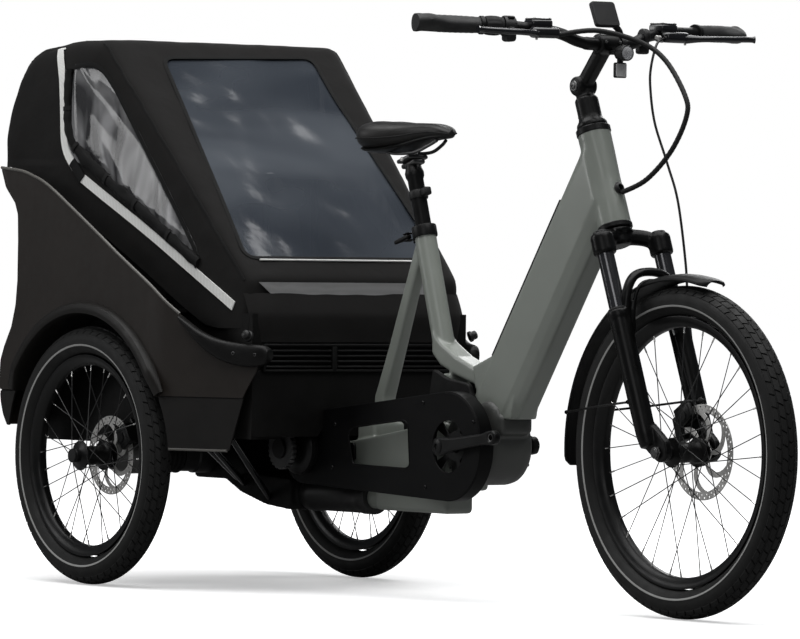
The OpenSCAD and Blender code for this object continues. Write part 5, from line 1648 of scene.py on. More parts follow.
def trimmed(obj, keep, cuts, reach=0.009, tree=None):
    """Deletes the faces outside keep, then draws the open edges onto the outlines of the cuts."""
    bm = bmesh.new()
    bm.from_mesh(obj.data)
    bmesh.ops.delete(bm, geom=[f for f in bm.faces if not keep(f.calc_center_median())], context="FACES")
    for vert in bm.verts:
        if not vert.is_boundary:
            continue
        best = None
        for flat, lift, outline in cuts:
            p = flat(vert.co)
            if p is None:
                continue
            delta = nearest_on(p, outline) - p
            if delta.length < reach and (best is None or delta.length < best[0]):
                best = (delta.length, lift(delta))
        if best:
            vert.co = vert.co + best[1]
            if tree:
                vert.co = tree.find_nearest(vert.co)[0]
    bm.to_mesh(obj.data)
    bm.free()
    return obj


def displaced(obj, shift):
    """Moves each vertex along its normal by shift(place, normal)."""
    moves = [(v.index, v.co + v.normal * shift(v.co - DATUM, v.normal)) for v in obj.data.vertices]
    for index, place in moves:
        obj.data.vertices[index].co = place
    obj.data.update()
    return obj


def copy_of(obj, name):
    twin = bpy.data.objects.new(name, obj.data.copy())
    bpy.context.scene.collection.objects.link(twin)
    return twin


def cloth_shift(p, n):
    """Slack between the hoops, soft folds, and puckers along the sewn edges."""
    move = 0.0016 * noise.noise(p * 9) + 0.0009 * noise.noise(p * 24)
    if n.z > 0.75:
        move -= 0.0030 * exp(-((p.x + 0.215) / 0.055) ** 2)
    if abs(n.y) > 0.6:
        move -= 0.0050 * exp(-((p.x + 0.235) / 0.07) ** 2) * (1 if p.z > 0.85 else 0.4)
        across_fold = p.x * 0.60 + p.z * 0.80
        move += 0.0013 * sin(across_fold * 95 + 4 * noise.noise(p * 6)) * (0.4 + noise.noise(p * 7)) \
            * exp(-((p.z - 0.80 + 0.57 * p.x) / 0.12) ** 2)
    return move


def screen_shift(p, n):
    broad = 0.0035 * noise.noise(Vector((p.x * 4.5, p.y * 7, p.z * 4.5)))
    return broad + 0.0012 * noise.noise(p * 16) - 0.0035


def side_film_shift(p, n):
    """Folds that fan out from the window's upper rear corner, where the film is gathered."""
    x, z = p.x + 0.135, p.z - 1.075
    turn, reach = atan2(z, x), hypot(x, z)
    seed = 3.1 if p.y > 0 else 8.4
    fan = noise.noise(Vector((turn * 4.6, reach * 4.0, seed)))
    slack = 0.0130 * exp(-(reach / 0.32) ** 2) + 0.0060
    return -0.0060 + slack * fan


def make_canopy():
    skin = canopy_skin()
    tree = tree_of(skin)

    def in_side(p, outline=SIDE_WINDOW):
        q = flat_side(p)
        return q is not None and inside(q, outline)

    def in_screen(p, outline=SCREEN):
        q = flat_slope(p)
        return q is not None and inside(q, outline)

    side_grown, screen_grown = grown(SIDE_WINDOW, 0.010), grown(SCREEN, 0.010)
    canopy = copy_of(skin, "canopy_cloth")
    trimmed(canopy, lambda p: not (inside(flat_any(p), FOOT_LINE) or in_side(p) or in_screen(p)),
            [(flat_any, lift_side, FOOT_LINE), (flat_side, lift_side, SIDE_WINDOW),
             (flat_slope, lift_slope, SCREEN)], tree=tree)
    displaced(canopy, cloth_shift)
    modified(canopy, "SOLIDIFY", thickness=0.0022, offset=-1)
    placed(shaded(canopy, 60), "chassis", "canopy_fabric", M["canopy"], "canopy_fabric")
    screen = copy_of(skin, "windshield_film")
    trimmed(screen, lambda p: in_screen(p, screen_grown), [], tree=tree)
    displaced(screen, screen_shift)
    placed(shaded(screen, 180), "chassis", "window_film", M["screen_film"], "windows")
    for word, side in SIDES:
        window = copy_of(skin, "side_window_film_" + word)
        trimmed(window, lambda p: (p.y - DATUM.y) * side > 0 and in_side(p, side_grown), [], tree=tree)
        displaced(window, side_film_shift)
        modified(window, "SMOOTH", factor=0.5, iterations=3)
        modified(window, "SUBSURF", levels=1)
        placed(shaded(window, 180), "chassis", "window_film", M["side_film"])
    bpy.data.objects.remove(skin)
    return tree


def drawn_on(tree, points, out=0.0):
    """Places on the canopy's skin nearest to the given ones, lifted off it by a distance."""
    path = []
    for p in points:
        place, normal, _, _ = tree.find_nearest(at(*p))
        path.append((place + normal * out, normal))
    return path


def ribbon(name, path, width, thickness, dome=0.0):
    """A flat band along a path of (place, normal) pairs."""
    rings = []
    last = len(path) - 1
    for i, (place, normal) in enumerate(path):
        along = (path[min(i + 1, last)][0] - path[max(i - 1, 0)][0]).normalized()
        side = along.cross(normal).normalized()
        up = side.cross(along).normalized()
        rings.append([place + side * width / 2 * s + up * (h + dome * (1 - s * s))
                      for s, h in ((-1, 0), (-0.97, thickness), (-0.5, thickness), (0, thickness),
                                   (0.5, thickness), (0.97, thickness), (1, 0), (0, -thickness * 0.5))])
    return loft(name, rings)


def along_line(points, step=0.012):
    """Even places along straight runs between points."""
    out = []
    for a, b in zip(points, points[1:]):
        a, b = Vector(a), Vector(b)
        count = max(1, round((b - a).length / step))
        out += [a.lerp(b, k / count) for k in range(count)]
    return out + [Vector(points[-1])]


def closed_path(tree, outline, lift, out):
    """A window outline as places on the skin."""
    dense = along_line([tuple(p) for p in outline] + [tuple(outline[0])], 0.010)
    return drawn_on(tree, [lift(p) for p in dense], out)


STRIPE_UPRIGHT = [(-0.186, 1.080), (-0.178, 1.060), (-0.161, 1.019), (-0.155, 0.978), (-0.151, 0.937),
                  (-0.147, 0.897), (-0.139, 0.872), (-0.118, 0.850), (-0.108, 0.840)]
STRIPE_SLANT = [(-0.084, 0.819), (-0.026, 0.789), (0.038, 0.757), (0.101, 0.725), (0.164, 0.692),
                (0.226, 0.658), (0.288, 0.624), (0.349, 0.591), (0.394, 0.566)]


def beside(tree, points, side, out):
    """Places on the canopy's skin straight in from one side, at even steps between points of X and Z."""
    path = []
    for p in smoothed(along_line([(x, 0, z) for x, z in points], 0.010), 4):
        place, normal, _, _ = tree.ray_cast(at(p.x, side * 0.6, p.z), Vector((0, -side, 0)))
        if place is None:
            place, normal, _, _ = tree.find_nearest(at(p.x, side * 0.3, p.z))
        path.append((place + normal * out, normal))
    return path


def make_canopy_trim(tree):
    bindings, light, seams = [], [], []

    def on_screen(p):
        q = SLOPE_TOP + SLOPE_DIR * p.x + SLOPE_OUT * CANOPY_ROUND
        return (q.x, p.y, q.z)

    edge = closed_path(tree, SCREEN, on_screen, 0.0004)
    bindings.append(ribbon("b", edge, 0.009, 0.0004, 0.0003))
    for side in (-1, 1):
        edge = closed_path(tree, SIDE_WINDOW, lambda p: (p.x, side * 0.33, p.y), 0.0004)
        bindings.append(ribbon("b", edge, 0.010, 0.0006, 0.0004))
        upright = along_line([(-0.190, side * 0.02, 1.15), (-0.190, side * 0.12, 1.13),
                              (-0.189, side * 0.24, 1.12)])
        upright = drawn_on(tree, upright, 0.0010) + beside(tree, STRIPE_UPRIGHT, side, 0.0010)
        light.append(ribbon("l", upright, 0.0195, 0.0022))
        light.append(ribbon("l", beside(tree, STRIPE_SLANT, side, 0.0010), 0.0195, 0.0022))
        seams.append(ribbon("t", beside(tree, [(-0.116, 0.852), (-0.082, 0.817)], side, 0.0028), 0.022,
                            0.0018, 0.0012))
        bead = drawn_on(tree, along_line([(-0.045, side * 0.30, 1.11), (0.12, side * 0.29, 0.94),
                                          (0.30, side * 0.28, 0.755), (0.425, side * 0.27, 0.62)]), 0.0004)
        seams.append(ribbon("t", bead, 0.005, 0.0006, 0.0004))
    put("window_bindings", bindings, "chassis", "canopy_fabric", M["binding"], angle=50)
    put("reflective_piping", light, "chassis", "canopy_fabric", M["reflector"], angle=50)
    put("seam_tapes", seams, "chassis", "canopy_fabric", M["binding"], angle=50)
    lip = drawn_on(tree, along_line([on_screen(Vector((0.612, y / 100))) for y in range(-21, 22)], 0.02),
                   0.0015)
    line = tube("screen_piping", [p for p, n in lip], 0.0020, 10)
    placed(shaded(line), "chassis", "canopy_fabric", M["reflector"])


def smoothed(points, rounds=3):
    points = [Vector(p) for p in points]
    for _ in range(rounds):
        points = [points[0]] + [(points[i - 1] + points[i] * 2 + points[i + 1]) / 4
                                for i in range(1, len(points) - 1)] + [points[-1]]
    return points


FLAP_STRAPS = (0.12, 0.27, 0.46, 0.64, 0.83)
FLAP_ROUTE = [(-0.142, 1.040), (-0.139, 0.980), (-0.134, 0.930), (-0.126, 0.902), (-0.108, 0.880),
              (-0.074, 0.857), (-0.023, 0.826), (0.104, 0.756), (0.167, 0.719), (0.245, 0.674),
              (0.286, 0.650)]


def make_rolled_flaps(tree):
    """The cloth flaps rolled up along the rear and lower edges of the side windows, with their straps."""
    for word, side in SIDES:
        path = beside(tree, FLAP_ROUTE, side, 0.0040)
        rings = []
        last = len(path) - 1
        for i, (place, normal) in enumerate(path):
            t = i / last
            along = (path[min(i + 1, last)][0] - path[max(i - 1, 0)][0]).normalized()
            across_way = along.cross(normal).normalized()
            thick = 0.0055 + 0.0016 * noise.noise(Vector((t * 31, side, 7)))
            wide = 0.0115 * (1 + 0.45 * noise.noise(Vector((t * 17, side, 2))))
            pinch = 1 - 0.35 * max(exp(-((t - s) / 0.012) ** 2) for s in FLAP_STRAPS)
            ring = []
            for k in range(20):
                a = tau * k / 20
                ruck = 1 + 0.38 * noise.noise(Vector((t * 42, cos(a) * 1.6, sin(a) * 1.6 + side * 5)))
                ring.append(place + across_way * wide * pinch * cos(a) * ruck
                            + normal * thick * pinch * sin(a) * ruck)
            rings.append(ring)
        roll = loft("rolled_flap_" + word, rings)
        placed(shaded(roll, 60), "chassis", "canopy_fabric", M["binding"])
        straps = []
        for share in FLAP_STRAPS:
            i = round(share * last)
            place, normal = path[i]
            along = (path[min(i + 1, last)][0] - path[max(i - 1, 0)][0]).normalized()
            across_way = along.cross(normal).normalized()
            loop = []
            for k in range(25):
                a = pi * (-0.08 + 1.16 * k / 24)
                loop.append((place + across_way * 0.0120 * cos(a) + normal * (0.0062 * sin(a) - 0.0006),
                             (across_way * cos(a) + normal * sin(a)).normalized()))
            straps.append(ribbon("s", loop, 0.009, 0.0010))
        put("flap_straps_" + word, straps, "chassis", "canopy_fabric", M["strap"], angle=50)


# ---------------------------------------------------------------- cabin shell

PANEL_Y = 0.355
SEAM_Z = 0.385
SKIRT_Z = 0.282
PANEL_TOP = [(0.463, 0.486), (0.416, 0.492), (0.380, 0.503), (0.357, 0.518), (0.328, 0.534), (0.309, 0.549),
             (0.285, 0.565), (0.261, 0.584), (0.236, 0.603), (0.122, 0.662), (0.049, 0.702),
             (-0.024, 0.741), (-0.098, 0.780), (-0.135, 0.799), (-0.173, 0.815), (-0.240, 0.833),
             (-0.322, 0.840)]
PANEL = [(-0.302, 0.800), (-0.266, 0.768), (-0.254, 0.744), (-0.251, 0.690), (-0.251, 0.610),
         (-0.257, 0.560), (-0.272, 0.515), (-0.298, 0.475), (-0.312, 0.446), (-0.315, 0.410),
         (-0.315, 0.385), (-0.311, 0.360), (-0.302, 0.335), (-0.288, 0.315), (-0.270, 0.300),
         (-0.270, 0.282), (0.428, 0.282), (0.464, 0.395), (0.492, 0.440), (0.492, 0.482)] + PANEL_TOP
ARCH = [(0.2852 * cos(a), 0.260 + 0.2852 * sin(a)) for a in [pi * k / 60 for k in range(-10, 71)]]
SLANT_START, SLANT_END = Vector((0.250, 0.355)), Vector((0.468, 0.268))


def shell_place(x, z, side, out=0.0):
    """The outer shell's surface at a distance along it: flat at the side, then turned in at the front."""
    slant = (SLANT_END - SLANT_START).normalized()
    before, turn = 0.030, x - SLANT_START.x
    if turn < -before:
        plan, normal = Vector((x, PANEL_Y)), Vector((0, 1))
    elif turn > before:
        plan, normal = SLANT_START + slant * turn, Vector((-slant.y, slant.x))
    else:
        t = (turn + before) / (2 * before)
        a, b = SLANT_START - Vector((before, 0)), SLANT_START + slant * before
        plan = (1 - t) ** 2 * a + 2 * t * (1 - t) * SLANT_START + t * t * b
        normal = Vector((0, 1)).lerp(Vector((-slant.y, slant.x)), t).normalized()
    crown = -0.0035 * ((z - 0.58) / 0.25) ** 2 if z > 0.58 and turn < 0 else 0.0
    plan = plan + normal * (out + crown)
    return at(plan.x, side * plan.y, z)


def flat_grid(low, high, step):
    """A flat grid in a mesh's own X and Y."""
    columns = round((high[0] - low[0]) / step)
    rows = round((high[1] - low[1]) / step)
    points = [(low[0] + (high[0] - low[0]) * i / columns, low[1] + (high[1] - low[1]) * j / rows, 0)
              for i in range(columns + 1) for j in range(rows + 1)]
    faces = [(i * (rows + 1) + j, (i + 1) * (rows + 1) + j, (i + 1) * (rows + 1) + j + 1,
              i * (rows + 1) + j + 1) for i in range(columns) for j in range(rows)]
    return new_object("grid", points, faces)


def flat_own(p):
    return Vector((p.x, p.y))


def lift_own(delta):
    return Vector((delta.x, delta.y, 0))


def bent_shell(outline, low, high, side, out, thickness):
    """A grid cut to an outline and to the wheel arch, bent round one side of the cabin and thickened."""
    grid = flat_grid(low, high, 0.008)
    band = [(low[0] - 1, low[1]), (high[0] + 1, low[1]), (high[0] + 1, high[1]), (low[0] - 1, high[1])]
    trimmed(grid, lambda p: inside((p.x, p.y), outline) and not inside((p.x, p.y), ARCH),
            [(flat_own, lift_own, outline), (flat_own, lift_own, ARCH), (flat_own, lift_own, band)],
            reach=0.0085)
    for v in grid.data.vertices:
        v.co = shell_place(v.co.x, v.co.y, side, out)
    modified(grid, "SOLIDIFY", thickness=thickness, offset=0)
    return outward(grid)


# The wheel arch's lip: radius round the axle and place sideways; it stands proud beyond LIP_Y
ARCH_LIP = [(0.2850, 0.268), (0.2850, 0.353), (0.2856, 0.366), (0.2872, 0.3705), (0.2895, 0.3718),
            (0.2990, 0.3712), (0.3055, 0.3690), (0.3085, 0.3640), (0.3098, 0.3560), (0.3100, 0.3530),
            (0.2890, 0.3520), (0.2880, 0.268)]
LIP_Y = 0.354
ARCH_STEPS = 72


def make_side_shells():
    for word, side in SIDES:
        upper = bent_shell(PANEL, (-0.328, SEAM_Z + 0.0012), (0.492, 0.842), side, -0.002, 0.004)
        lower = bent_shell(PANEL, (-0.328, SKIRT_Z), (0.492, SEAM_Z - 0.0012), side, -0.0035, 0.004)
        upper.name, lower.name = "side_shell_" + word, "side_sill_" + word
        placed(shaded(upper, 40), "chassis", "shell_plastic", M["shell"], "side_panel_" + word)
        placed(shaded(lower, 40), "chassis", "shell_plastic", M["sill"])
        rings = []
        for k in range(ARCH_STEPS + 1):
            a = radians(25.9 + (154.1 - 25.9) * k / ARCH_STEPS)
            swell = 0.4 + 0.6 * min(1.0, min(k, ARCH_STEPS - k) / 5)
            rings.append([at(r * cos(a), side * (min(y, LIP_Y) + max(0, y - LIP_Y) * swell),
                             0.260 + r * sin(a)) for r, y in ARCH_LIP])
        placed(shaded(loft("arch_trim_" + word, rings), 40), "chassis", "shell_plastic", M["arch"])
        liner = [(0.286 * cos(a), 0.260 + 0.286 * sin(a))
                 for a in [radians(5 + 170 * k / 48) for k in range(49)]]
        inner = loft("l", [[at(x, side * y, z) for x, z in liner] for y in (0.2645, 0.2665)])
        placed(shaded(inner, 40), "chassis", "shell_plastic", M["trim"]).name = "arch_liner_" + word
        # Tubes along the shell's top edge and along its skirt, in the pale edge colour: painted highlights on
        # the rolled edges.
        edge_highlight_tubes = []
        top = smoothed(along_line([(x, z, 0) for x, z in PANEL_TOP[5:]], 0.01))
        edge_highlight_tubes.append(tube("r", [shell_place(p.x, p.y + 0.0005, side, -0.0012) for p in top], 0.0030, 10))
        low = [shell_place(0.285 + k * 0.0069, SKIRT_Z, side, -0.004) for k in range(21)]
        edge_highlight_tubes.append(tube("r", low, 0.0032, 10))
        put("shell_edges_" + word, edge_highlight_tubes, "chassis", "shell_plastic", M["painted_edge_highlight"])
        gap = [shell_place(-0.31 + k * 0.01, SEAM_Z, side, -0.005) for k in range(3)]
        seam_front = [shell_place(0.258 + k * 0.0078, SEAM_Z, side, -0.0036) for k in range(27)]
        seam = joined("shell_seam_" + word, [tube("s", gap, 0.0026, 8), tube("s", seam_front, 0.0026, 8)])
        placed(shaded(seam), "chassis", "shell_plastic", M["trim"])


def make_rear_panel():
    profile = [(-0.320, 0.838), (-0.298, 0.800), (-0.262, 0.766), (-0.251, 0.740), (-0.249, 0.680),
               (-0.249, 0.610), (-0.255, 0.560), (-0.270, 0.515), (-0.296, 0.475), (-0.310, 0.446),
               (-0.313, 0.410), (-0.313, 0.385), (-0.309, 0.360), (-0.300, 0.335), (-0.287, 0.316)]
    profile = [(p.x, p.y) for p in smoothed([(x, z, 0) for x, z in profile], 1)]
    rings = []
    for x, z in profile:
        ring = []
        for k in range(41):
            y = -0.352 + 0.704 * k / 40
            edge = max(0.0, (abs(y) - 0.325) / 0.027)
            ring.append(at(x + 0.0015 + 0.006 * edge * edge, y, z))
        rings.append(ring)
    panel = loft("rear_shell", rings, closed=False)
    modified(panel, "SOLIDIFY", thickness=0.004, offset=0)
    placed(shaded(outward(panel), 50), "chassis", "shell_plastic", M["shell"], "rear_panel")
    door = rounded([(-0.270, 0.475), (0.270, 0.475), (0.270, 0.735), (-0.270, 0.735)], 0.03)
    groove = [at(-0.2535 if p.y > 0.57 else -0.2535 - 0.42 * (0.57 - p.y), p.x, p.y)
              for p in along_line([tuple(q) for q in door] + [tuple(door[0])], 0.02)]
    placed(shaded(tube("rear_hatch_line", groove, 0.0022, 8)), "chassis", "shell_plastic", M["trim"])
    handle = block("h", (0.014, 0.120, 0.022), Matrix.Translation(at(-0.259, 0, 0.700)), 0.006, 4)
    placed(shaded(handle), "chassis", "shell_plastic", M["plastic"]).name = "rear_handle"


def make_tub_front():
    """The front of the cabin between the slanted corners: the tub's face and the slats of the vent."""
    wide = 0.262
    rows = [(0.4565, 0.310), (0.4580, 0.330), (0.4585, 0.420), (0.4580, 0.436), (0.4560, 0.440)]
    rings = [[at(x - 0.04 * max(0, abs(y) / wide - 0.9), y, max(z, 0.327) if abs(y) < 0.1 else z)
              for x, z in rows]
             for y in [wide * (-1 + k / 20) for k in range(41)]]
    front = loft("tub_front_panel", rings, closed=False)
    modified(front, "SOLIDIFY", thickness=0.0035, offset=0)
    placed(shaded(outward(front), 50), "chassis", "shell_plastic", M["tub"])
    slats = []
    for low, high in ((-0.236, -0.078), (-0.062, 0.236)):
        for k in range(4):
            z = 0.447 + k * 0.0105
            slats.append(block("v", (0.0095, high - low, 0.0042),
                               Matrix.Translation(at(0.4620, (low + high) / 2, z))
                               @ Matrix.Rotation(radians(-18), 4, "Y"), 0.0014, 2))
    slats.append(block("v", (0.0100, 0.012, 0.050), Matrix.Translation(at(0.4625, -0.070, 0.463)), 0.002))
    for z in (0.4400, 0.4905):
        slats.append(block("v", (0.0110, 0.480, 0.0050), Matrix.Translation(at(0.4615, 0, z)), 0.0018))
    for y in (-0.239, 0.239):
        slats.append(block("v", (0.0110, 0.006, 0.052), Matrix.Translation(at(0.4615, y, 0.465)), 0.0018))
    put("vent_slats", slats, "chassis", "shell_plastic", M["trim"], "vent_grille")


def make_front_flap():
    """The canopy's front skirt: a dark flap with a pale reflective band along its upper edge."""
    rings = []
    for k in range(49):
        y = -0.262 + 0.524 * k / 48
        edge = max(0.0, (abs(y) - 0.225) / 0.037)
        ring = []
        for j in range(17):
            t = j / 16
            z = 0.592 - 0.096 * t
            wave = 0.0016 * noise.noise(Vector((y * 14, z * 20, 1.0))) + 0.00088 * t * sin(y * 40)
            bow = 0.0045 * sin(pi * min(1, t * 1.1))
            ring.append(at(0.4425 + 0.0155 * min(1, t * 2.2) + bow + wave - 0.020 * edge * edge, y, z))
        rings.append(ring)
    flap = loft("front_skirt", rings, closed=False)
    modified(flap, "SOLIDIFY", thickness=0.0020, offset=0)
    placed(shaded(outward(flap), 60), "chassis", "canopy_fabric", M["canopy"])
    band_rings = []
    for k in range(45):
        ring = []
        for j in range(5):
            t = j / 4
            start = -0.197 - 0.042 * t
            y = start + (0.190 - start) * k / 44
            z = 0.580 + 0.034 * t
            dip = 0.0006 * noise.noise(Vector((y * 20, z * 30, 4)))
            ring.append(at(0.4440 - 0.0020 * t + dip, y, z))
        band_rings.append(ring)
    band = loft("reflective_band", band_rings, closed=False)
    modified(band, "SOLIDIFY", thickness=0.0012, offset=0)
    placed(shaded(outward(band), 60), "chassis", "canopy_fabric", M["reflective_band"])


def make_corner_guards():
    for word, side in SIDES:
        spine = [(0.308, 0.332, 0.541, 0.005), (0.330, 0.326, 0.524, 0.009), (0.357, 0.317, 0.503, 0.014),
                 (0.390, 0.303, 0.484, 0.019), (0.430, 0.286, 0.473, 0.022), (0.468, 0.269, 0.470, 0.022),
                 (0.490, 0.257, 0.471, 0.019), (0.499, 0.250, 0.472, 0.010)]
        fine = smooth_path([(x, y, z) for x, y, z, w in spine], 6)
        widths = smooth_path([(w, 0, 0) for x, y, z, w in spine], 6)
        rings = []
        for i, p in enumerate(fine):
            w = widths[i].x
            ring = []
            for k in range(24):
                a = tau * k / 24
                c, s = cos(a), sin(a)
                ring.append(at(p.x + 0.004 * c, side * (p.y + 0.0105 * copysign(abs(c) ** 0.6, c)),
                               p.z + w * copysign(abs(s) ** 0.8, s)))
            rings.append(ring)
        guard = loft("corner_guard_" + word, rings)
        stands = ("corner_guards",) if side < 0 else ()
        placed(shaded(guard, 50), "chassis", "guard_plastic", M["bumper"], *stands)
        bolts = []
        for x, y, z in ((0.436, 0.2935, 0.474), (0.480, 0.2725, 0.472)):
            bolts.append(bolt("b", at(x, side * y, z), (0.35, side, 0), 0.0042, 0.003))
        put("corner_bolts_" + word, bolts, "chassis", "guard_plastic", M["dark_steel"])
        knob = lathe("corner_knob_" + word, [(0, 0.014), (0.006, 0.0135), (0.0085, 0.0115), (0.0090, 0.004),
                                             (0.0110, 0.002), (0.0110, -0.003), (0, -0.003)],
                     Matrix.Translation(at(0.456, side * 0.273, 0.508))
                     @ Vector((0.35, side, 0.4)).to_track_quat("Z", "Y").to_matrix().to_4x4(), 20)
        placed(shaded(knob), "chassis", "guard_plastic", M["plastic"])


def make_cushions():
    """The bench cushion and the backrest: swollen, quilted pads with seams."""
    for name, size, matrix, channels, stands in (
            ("bench_cushion", (0.250, 0.440, 0.046), Matrix.Translation(at(0.040, 0, 0.430)), (-0.073, 0.073),
             ("seat_cushions",)),
            ("back_cushion", (0.040, 0.425, 0.430), Matrix.Translation(at(-0.158, 0, 0.660))
             @ Matrix.Rotation(radians(-8.5), 4, "Y"), (-0.071, 0.071), ())):
        pad = block(name, size, Matrix.Identity(4), 0.012, 3)
        thin = 2 if name == "bench_cushion" else 0
        modified(pad, "REMESH", mode="VOXEL", voxel_size=0.006)
        puffed(pad, 0.012)
        for v in pad.data.vertices:
            for channel in channels:
                dent = 0.0065 * exp(-((v.co.y - channel) / 0.008) ** 2)
                v.co[thin] -= copysign(dent, v.co[thin]) if abs(v.co[thin]) > 0.010 else 0
        pad.data.transform(matrix)
        pad.data.update()
        placed(shaded(pad, 180), "chassis", "cushion_fabric", M["cushion"], *stands)
        half = [s / 2 for s in size]
        flat = [i for i in (0, 1, 2) if i != thin]
        rim = rounded([(-half[flat[0]], -half[flat[1]]), (half[flat[0]], -half[flat[1]]),
                       (half[flat[0]], half[flat[1]]), (-half[flat[0]], half[flat[1]])], 0.022, 6)
        ring = []
        for p in [*rim, rim[0]]:
            spot = Vector((0, 0, 0))
            spot[flat[0]], spot[flat[1]] = p.x * 1.012, p.y * 1.008
            ring.append(matrix @ spot)
        placed(shaded(tube(name + "_piping", ring, 0.0028, 8)), "chassis", "cushion_fabric", M["binding"])


def puffed(obj, cap):
    """Blows a closed mesh up like a cushion by cloth simulation, and caps how far any point moves."""
    before = [v.co.copy() for v in obj.data.vertices]
    cloth_settings = obj.modifiers.new("cloth", "CLOTH").settings
    cloth_settings.use_pressure = True
    cloth_settings.uniform_pressure_force = 4
    cloth_settings.quality = 4
    cloth_settings.tension_stiffness = 22
    cloth_settings.compression_stiffness = 22
    cloth_settings.bending_stiffness = 1.2
    cloth_settings.effector_weights.gravity = 0
    scene = bpy.context.scene
    for number in range(1, 21):
        scene.frame_set(number)
    graph = bpy.context.evaluated_depsgraph_get()
    mesh = bpy.data.meshes.new_from_object(obj.evaluated_get(graph))
    obj.modifiers.clear()
    for v, old in zip(mesh.vertices, before):
        move = v.co - old
        if move.length > cap:
            v.co = old + move.normalized() * cap
    obj.data = mesh
    scene.frame_set(1)
    return modified(obj, "SMOOTH", factor=0.5, iterations=3)


def make_harness():
    """A pair of belts and a buckle for each of the two seats."""
    webs, buckles = [], []
    for y in (-0.112, 0.112):
        for dy in (-0.040, 0.040):
            route = [(-0.188, y + dy * 0.8, 0.850), (-0.158, y + dy, 0.840), (-0.138, y + dy, 0.700),
                     (-0.112, y + dy * 0.9, 0.560), (-0.080, y + dy * 0.5, 0.480), (-0.040, y, 0.4640)]
            path = [(at(*p), Vector((0.9, 0, 0.35))) for p in smooth_path(route, 6)]
            webs.append(ribbon("w", path, 0.024, 0.0014))
        buckles.append(block("b", (0.040, 0.046, 0.014), Matrix.Translation(at(-0.028, y, 0.4680)), 0.005))
    put("harness_webbing", webs, "chassis", "canopy_fabric", M["strap"], angle=50)
    put("harness_buckles", buckles, "chassis", "shell_plastic", M["plastic"])


def make_tail_lights():
    lamps, bodies = [], []
    for side in (-1, 1):
        outline = rounded([(side * 0.262, 0.642), (side * 0.318, 0.642), (side * 0.318, 0.728),
                           (side * 0.262, 0.728)], 0.010)
        turn = Matrix.Translation(at(0, 0, 0)) @ Matrix(((0, 0, 1, 0), (1, 0, 0, 0), (0, 1, 0, 0),
                                                         (0, 0, 0, 1)))
        bodies.append(plate("t", outline, [], 0.008, turn @ Matrix.Translation((0, 0, -0.2565)), 0.0015))
        inner = rounded([(side * 0.266, 0.646), (side * 0.314, 0.646), (side * 0.314, 0.724),
                         (side * 0.266, 0.724)], 0.008)
        lamps.append(plate("t", inner, [], 0.004, turn @ Matrix.Translation((0, 0, -0.2612)), 0.0014, 3))
    put("tail_lamp_bodies", bodies, "chassis", "shell_plastic", M["plastic"], "tail_lights")
    put("tail_lamp_lenses", lamps, "chassis", "tail_lens", M["lens"])


# ---------------------------------------------------------------- rear axle


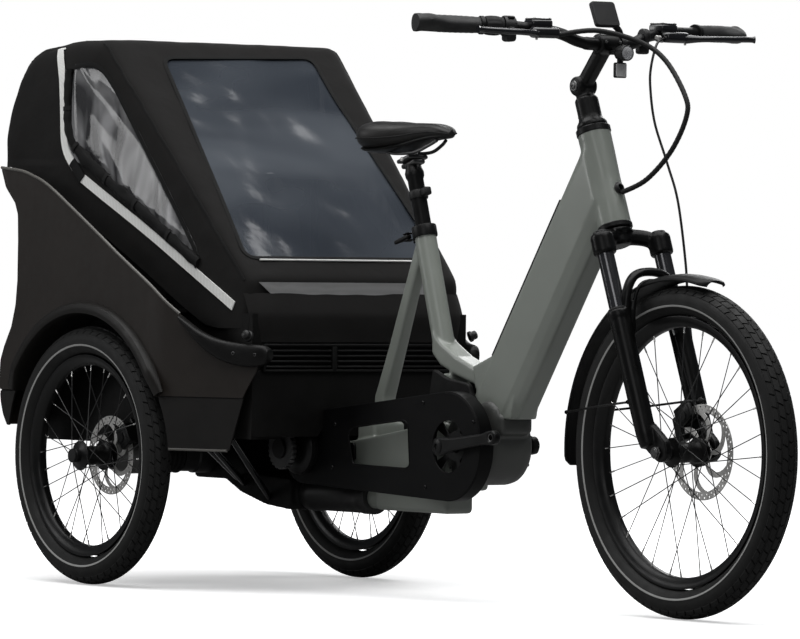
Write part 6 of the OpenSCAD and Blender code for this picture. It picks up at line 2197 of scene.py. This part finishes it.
def make_axle():
    tubes, bellows, bright = [], [], []
    for side in (-1, 1):
        turn = Matrix.Translation(at(0, 0, REAR_AXLE.z)) @ Matrix.Rotation(side * -pi / 2, 4, "X")
        tubes.append(lathe("a", [(0.0, 0.048), (0.0340, 0.048), (0.0375, 0.052), (0.0375, 0.090),
                                 (0.0345, 0.094), (0.0340, 0.125), (0.0, 0.125)], turn, 56))
        rings = [(0.0, 0.125)]
        for k in range(7):
            z = 0.127 + k * 0.0105
            r = 0.0375 - k * 0.0010
            rings += [(r - 0.0060, z), (r, z + 0.0035), (r, z + 0.0055), (r - 0.0060, z + 0.0090)]
        rings += [(0.0290, 0.202), (0.0, 0.202)]
        bellows.append(lathe("b", rings, turn, 56))
        bright.append(lathe("a", [(0.0, 0.202), (0.0335, 0.202), (0.0375, 0.205), (0.0378, 0.240),
                                  (0.0345, 0.246), (0.0340, 0.262), (0.0295, 0.270), (0.0295, 0.285),
                                  (0, 0.286)], turn, 56))
        tubes.append(rod("a", at(0, side * 0.282, REAR_AXLE.z), at(0, side * 0.382, REAR_AXLE.z), 0.00985,
                         32))
        bellows.append(lathe("a", [(0.0100, 0.3790), (0.0135, 0.3790), (0.0140, 0.3800), (0.0136, 0.3835),
                                   (0.0100, 0.3840), (0, 0.3840)], turn, 32))
    put("axle_tubes", tubes, "chassis", "axle_metal", M["axle"], "axle_housing")
    put("axle_bellows", bellows, "chassis", "axle_metal", M["rubber"])
    put("axle_bearing_seats", bright, "chassis", "axle_metal", M["cast_light"])
    beam = [side_prism("t",
                       rounded([(-0.052, 0.212), (-0.052, 0.300), (0.060, 0.300), (0.130, 0.237),
                                (0.200, 0.224), (0.290, 0.220), (0.290, 0.157), (0.200, 0.165),
                                (0.110, 0.188), (0.060, 0.212)], 0.012), -0.048, 0.048),
            rod("t", at(0.268, 0, 0.190), at(0.300, 0, 0.190), 0.034, 48)]
    beam_skin = melted("tilt_beam_casting", beam, 0.003, 4)
    placed(beam_skin, "chassis", "axle_metal", M["trim"], "tilt_beam")
    cup = lathe("tilt_bearing_cup", [(0.0225, 0.296), (0.0325, 0.296), (0.0340, 0.299), (0.0340, 0.330),
                                     (0.0325, 0.3345), (0.0325, 0.478), (0.0340, 0.482), (0.0340, 0.511),
                                     (0.0325, 0.5145), (0.0225, 0.5145), (0.0225, 0.296)],
                Matrix.Translation(at(0, 0, 0.190)) @ Z_FORWARD, 56)
    placed(shaded(cup), "chassis", "axle_metal", M["axle"])
    struts = []
    for side in (-1, 1):
        for a, b in (((0.235, side * 0.236, 0.300), (0.110, side * 0.052, 0.215)),
                     ((0.255, side * 0.232, 0.300), (0.130, side * 0.050, 0.205)),
                     ((0.330, side * 0.222, 0.303), (0.215, side * 0.048, 0.180))):
            struts.append(tube("s", [at(*a), at(*b)], 0.0062, 16))
    put("floor_struts", struts, "chassis", "axle_metal", M["black_gloss"])
    calipers = []
    for side in (-1, 1):
        disc = Vector((REAR_AXLE.x, side * 0.288, REAR_AXLE.z))
        calipers += caliper_blocks(disc, 0.080, radians(33), -side)
    put("rear_caliper_bodies", calipers, "chassis", "caliper_metal", M["black_metal"], "rear_calipers")


def make_frame_hoops():
    """The canopy's two hoops, as smooth tubes."""
    rear = [(-0.120, -0.300, 0.558), (-0.120, -0.299, 0.780), (-0.120, -0.291, 1.000),
            (-0.120, -0.276, 1.056), (-0.120, -0.238, 1.075), (-0.120, 0, 1.077)]
    front = [(0.417, -0.232, 0.540), (0.403, -0.235, 0.592), (0.184, -0.246, 0.826),
             (-0.018, -0.250, 1.036), (-0.046, -0.226, 1.062), (-0.048, 0, 1.064)]
    hoops = []
    for half in (rear, front):
        route = half + [(x, -y, z) for x, y, z in half[-2::-1]]
        hoops.append(tube("h", smooth_path([at(x, y * 0.985, z - 0.003) for x, y, z in route], 6), 0.0078,
                          16))
    put("canopy_hoops", hoops, "chassis", "frame_rod", M["black_metal"], "canopy_frame")


KEPT_NODES = {"cabin_tub": "tub"}


def make_everything():
    make_camera()
    make_studio()
    make_wheels()
    make_frame()
    make_collar()
    make_seatpost()
    make_saddle()
    make_motor()
    make_guard()
    make_pulleys()
    make_cranks()
    make_gear_hub()
    make_handlebar()
    make_shifter()
    make_levers()
    make_stem()
    make_display()
    make_lamp()
    make_fork()
    make_fender()
    make_hoses()
    tree = make_canopy()
    make_canopy_trim(tree)
    make_rolled_flaps(tree)
    make_frame_hoops()
    make_side_shells()
    make_rear_panel()
    make_tub_front()
    make_front_flap()
    make_corner_guards()
    make_cushions()
    make_harness()
    make_tail_lights()
    make_axle()
    for name, obj in frame["nodes"].items():
        obj.data.materials.clear()
        obj.data.materials.append(M[KEPT_NODES.get(name, "plastic")])


make_everything()
